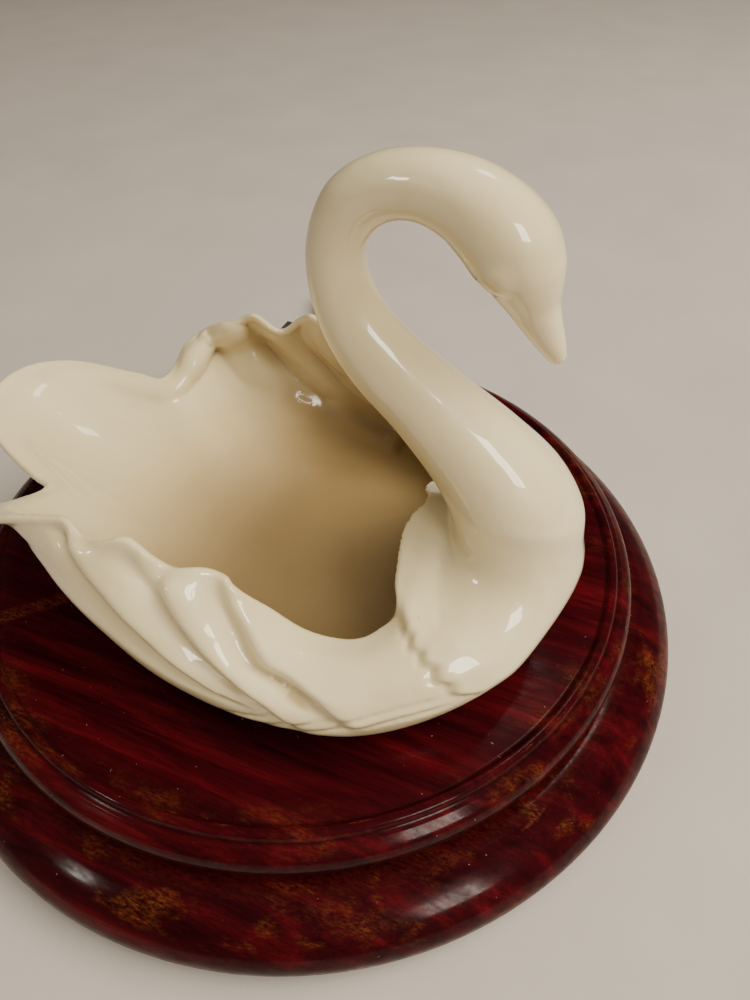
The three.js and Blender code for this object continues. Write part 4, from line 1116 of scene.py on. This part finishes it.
def build_switch(phenolic, steel, brass):
    cad_piece("switch_lower_shell", phenolic, 0.7)
    cad_piece("switch_upper_shell", phenolic, 0.7)
    cad_piece("switch_contact_in", brass, 0.15)
    cad_piece("switch_contact_out", brass, 0.15)
    cad_piece("switch_spindle", steel, 0.1)
    low, high = box_mm("switch_wheel")
    centre = (low + high) / 2
    radius = (high[0] - low[0]) / 2
    edge = radius - 0.55
    rows = dense([
        (1.6, low[2]), (edge - 0.5, low[2]), (edge, low[2] + 0.5, 0.5),
        (edge, high[2] - 0.5, 0.5), (edge - 0.5, high[2]), (1.6, high[2]), (1.6, low[2]),
    ], 0.5)
    place = (centre[0], centre[1], 0)
    wheel = spun("knurled_wheel", rows, place, "Z", 288, ribs(48), closed=True)
    flat_sided(wheel, 50)
    settle(wheel, phenolic, "thumbwheel", "phenolic", "switch_wheel")
    low, high = box_mm("switch_screw")
    centre = (low + high) / 2
    head = (high[0] - low[0]) / 2
    rows = [
        (0.3, low[2], 0), (1.2, low[2] + 0.4, 0), (1.2, high[2] - 1.5, 0),
        (head, high[2] - 1.45, 0), (head, high[2] - 0.7, 0), (head - 0.5, high[2] - 0.2, 0),
        (head * 0.5, high[2], 0), (0.3, high[2], 0),
    ]
    screw = spun("switch_shell_screw", rows, (centre[0], centre[1], 0), sides=64)
    carve(screw, (8, 0.8, 1.4), (centre[0], centre[1], high[2]), 50 * DEG)
    flat_sided(screw)
    settle(screw, steel, "stand", "plated_steel", "switch_screw")


def build_plug(phenolic, steel):
    low, high = box_mm("plug_body")
    middle = (low + high) / 2
    half_width, half_height = (high - low)[1:] / 2
    shares = np.linspace(0, 1, 90)
    turn = np.arange(96) * 2 * math.pi / 96
    rings = []
    for share in shares:
        x = low[0] + share * (high[0] - low[0])
        waist = 0.62 + 0.38 * smoothstep(share, 0.05, 0.62)
        grip = 0.05 * math.sin(share * 34) ** 2 * smoothstep(0.62 - share, 0, 0.1)
        end = 1 - 0.06 * (1 - smoothstep(share, 0, 0.05)) - 0.05 * smoothstep(share, 0.96, 1)
        wide = half_width * (waist - grip) * end
        tall = half_height * (0.8 + 0.2 * smoothstep(share, 0.1, 0.6) - 0.6 * grip) * end
        y = middle[1] + wide * np.sign(np.cos(turn)) * np.abs(np.cos(turn)) ** 0.55
        z = middle[2] + tall * np.sign(np.sin(turn)) * np.abs(np.sin(turn)) ** 0.55
        rings.append(np.stack([np.full(96, x), y, z], -1))
    plug = lofted("plug_shell", rings)
    for side in (-1, 1):
        carve(plug, (19, 2.1, 7.0), (high[0], middle[1] + side * 6.35, middle[2]))
    flat_sided(plug, 40)
    settle(plug, phenolic, "stand", "phenolic", "plug_body")
    for node in ("plug_blade_left", "plug_blade_right"):
        low, high = box_mm(node)
        centre = (low + high) / 2
        blade = plate("flat_" + node, low, high, 0.35)
        carve(blade, (3.2, 4, 3.2), (high[0] - 5, centre[1], centre[2]), 45 * DEG, "Y")
        flat_sided(blade, 30)
        settle(blade, steel, "stand", "plated_steel", node)


def plate(name, low, high, bevel):
    """Rectangular bar between two corners with softened edges."""
    mesh = bpy.data.meshes.new(name)
    shape = bmesh.new()
    bmesh.ops.create_cube(shape, size=1.0)
    middle, size = (low + high) / 2, high - low
    for corner in shape.verts:
        corner.co = Vector((np.array(corner.co) * size + middle) * MM)
    bmesh.ops.bevel(
        shape, geom=list(shape.edges), offset=bevel * MM, segments=3, affect="EDGES", profile=0.5
    )
    shape.to_mesh(mesh)
    shape.free()
    piece = bpy.data.objects.new(name, mesh)
    bpy.context.scene.collection.objects.link(piece)
    return piece


def build_hidden(steel, felt):
    for number in (1, 2, 3):
        cad_piece(f"joining_screw_{number}", steel, 0.2)
        cad_piece(f"swan_pad_{number}", felt, 0.1)


# ------------------------------------------------------- their finishes


def metal(name, light, dark, roughness, scratch=0.35):
    """Metal with tarnish in patches and fine scratches."""
    finish = Finish(name)
    patches = finish.noise(finish.stretched((0.35, 0.35, 0.35)), 1.0, 5, 0.6)
    tone = finish.ramp(patches, (0.35, dark), (0.6, light))
    lines = finish.noise(finish.stretched((0.6, 9, 9)), 1.0, 3, 0.6)
    gloss = finish.ramp(lines, (0.3, roughness * 0.7), (0.7, min(1.0, roughness * 1.5)))
    finish.set(Base_Color=tone, Metallic=1.0, Roughness=gloss)
    finish.bump(lines, 0.02, scratch)
    return finish.material


def moulded(name, light, dark, roughness=0.32):
    """Moulded plastic with faint flow marks and handling wear."""
    finish = Finish(name)
    flow = finish.noise(finish.stretched((0.15, 0.15, 0.15)), 1.0, 5, 0.6, 1.5)
    tone = finish.ramp(flow, (0.3, dark), (0.7, light))
    grain = finish.noise(finish.stretched((2.5, 2.5, 2.5)), 1.0, 2, 0.5)
    worn = finish.pointiness(0.52, 0.6)
    gloss = finish.ramp(grain, (0.3, roughness * 0.75), (0.7, roughness * 1.3))
    finish.set(
        Base_Color=finish.mix(finish.maths("MULTIPLY", worn, 0.35), tone, (0.12, 0.075, 0.05)),
        Roughness=gloss,
        Specular_IOR_Level=0.5,
    )
    finish.bump(grain, 0.03, 0.4)
    return finish.material


def felt_cloth():
    finish = Finish("felt_cloth")
    fibre = finish.noise(finish.stretched((3, 3, 3)), 1.0, 6, 0.7, 0.8)
    tone = finish.ramp(fibre, (0.3, (0.008, 0.03, 0.014)), (0.7, (0.02, 0.075, 0.035)))
    finish.set(Base_Color=tone, Roughness=0.95, Sheen_Weight=0.6, Sheen_Roughness=0.5)
    finish.bump(fibre, 0.25, 0.9)
    return finish.material


def clear_glass():
    finish = Finish("clear_glass")
    ripple = finish.noise(finish.stretched((0.3, 0.3, 0.3)), 1.0, 3)
    finish.set(
        Base_Color=(0.93, 0.96, 0.95, 1),
        Transmission_Weight=1.0,
        Roughness=finish.ramp(ripple, (0.3, 0.01), (0.8, 0.05)),
        IOR=1.5,
    )
    finish.bump(ripple, 0.03, 0.3)
    return finish.material


# ------------------------------------------------------- floor, camera, light

CAMERA_PLACE = Vector((80.80, -136.99, 203.83))
CAMERA_VIEW = Vector((-0.27262, 0.65097, -0.70846))
CAMERA_ROLL = -0.28 * DEG


def build_stage():
    finish = Finish("pale_floor")
    cloud = finish.noise(finish.stretched((0.02, 0.02, 0.02)), 1.0, 3)
    tone = finish.ramp(cloud, (0.3, (0.48, 0.43, 0.385)), (0.7, (0.52, 0.465, 0.415)))
    finish.set(Base_Color=tone, Roughness=0.55, Specular_IOR_Level=0.3)
    span = 3000
    corners = [(-span, -span, 0), (span, -span, 0), (span, span, 0), (-span, span, 0)]
    floor = mesh_piece("floor", corners, [(0, 1, 2, 3)])
    floor.data.materials.append(finish.material)


def area_light(name, place, target, size, power, colour=(1, 1, 1)):
    light = bpy.data.lights.new(name, "AREA")
    light.shape = "RECTANGLE"
    light.size, light.size_y = size
    light.energy = power
    light.color = colour
    lamp = bpy.data.objects.new(name, light)
    lamp.location = place
    direction = Vector(target) - Vector(place)
    lamp.rotation_euler = direction.to_track_quat("-Z", "Y").to_euler()
    bpy.context.scene.collection.objects.link(lamp)
    return lamp


def from_direction(azimuth, elevation, distance):
    """Place in metres seen from the swan's middle at an azimuth and elevation in degrees."""
    flat = distance * math.cos(elevation * DEG)
    x, y = flat * math.cos(azimuth * DEG), flat * math.sin(azimuth * DEG)
    return (x, y, 0.09 + distance * math.sin(elevation * DEG))


def build_light():
    world = bpy.data.worlds.new("room")
    world.use_nodes = True
    background = world.node_tree.nodes["Background"]
    background.inputs["Color"].default_value = (1.0, 0.86, 0.70, 1)
    path = world.node_tree.nodes.new("ShaderNodeLightPath")
    seen = world.node_tree.nodes.new("ShaderNodeMapRange")
    seen.inputs["To Min"].default_value = 0.11
    seen.inputs["To Max"].default_value = 0.55
    world.node_tree.links.new(path.outputs["Is Camera Ray"], seen.inputs["Value"])
    world.node_tree.links.new(seen.outputs["Result"], background.inputs["Strength"])
    bpy.context.scene.world = world
    middle = (0, 0, 0.08)
    warm = (1.0, 0.93, 0.81)
    soft = area_light("soft_key", from_direction(14, 50, 1.4), middle, (1.0, 1.0), 29, warm)
    soft.visible_glossy = False
    fill = area_light("soft_fill", from_direction(-60, 74, 1.3), middle, (0.9, 0.9), 6, warm)
    fill.visible_glossy = False
    for name, azimuth in (("window_left", -37.5), ("window_right", -29.5)):
        area_light(name, from_direction(azimuth, 34, 1.2), middle, (0.13, 0.34), 2.4, warm)
    area_light("far_window", from_direction(66, 61, 1.3), middle, (0.16, 0.30), 1.4, warm)
    area_light("side_glint", from_direction(-124, 32, 1.2), middle, (0.10, 0.12), 0.9, warm)


def build_camera():
    camera = bpy.data.cameras.new("camera")
    camera.sensor_fit = "VERTICAL"
    camera.sensor_height = 36
    camera.lens = 27
    camera.clip_start = 0.01
    viewer = bpy.data.objects.new("camera", camera)
    turn = CAMERA_VIEW.to_track_quat("-Z", "Y").to_matrix().to_4x4()
    roll = Matrix.Rotation(CAMERA_ROLL, 4, "Z")
    viewer.matrix_world = Matrix.Translation(CAMERA_PLACE * MM) @ turn @ roll
    bpy.context.scene.collection.objects.link(viewer)
    bpy.context.scene.camera = viewer


# -------------------------------------------------------------------- the scene


def build_hardware():
    steel = metal("zinc_steel", (0.62, 0.62, 0.6), (0.36, 0.35, 0.33), 0.32)
    nickel = metal("nickel_plate", (0.72, 0.69, 0.64), (0.5, 0.47, 0.42), 0.2)
    brass = metal("aged_brass", (0.72, 0.5, 0.2), (0.3, 0.19, 0.08), 0.28)
    tungsten = metal("tungsten", (0.35, 0.34, 0.33), (0.2, 0.19, 0.19), 0.45)
    phenolic = moulded("brown_phenolic", (0.042, 0.02, 0.012), (0.016, 0.008, 0.006))
    cover = moulded("brown_lead_cover", (0.075, 0.042, 0.024), (0.045, 0.025, 0.015), 0.45)
    rubber = moulded("black_rubber", (0.03, 0.028, 0.026), (0.016, 0.015, 0.014), 0.62)
    felt = felt_cloth()
    glass = clear_glass()
    build_felt(felt)
    build_bracket(steel, brass)
    build_lampholder(phenolic, brass)
    build_bulb(glass, brass, tungsten, phenolic, nickel)
    build_lead(rubber, cover, steel)
    build_switch(phenolic, steel, brass)
    build_plug(phenolic, nickel)
    build_hidden(steel, felt)


build_swan(ivory_glaze())
build_base(mahogany())
build_hardware()
build_stage()
build_light()
build_camera()
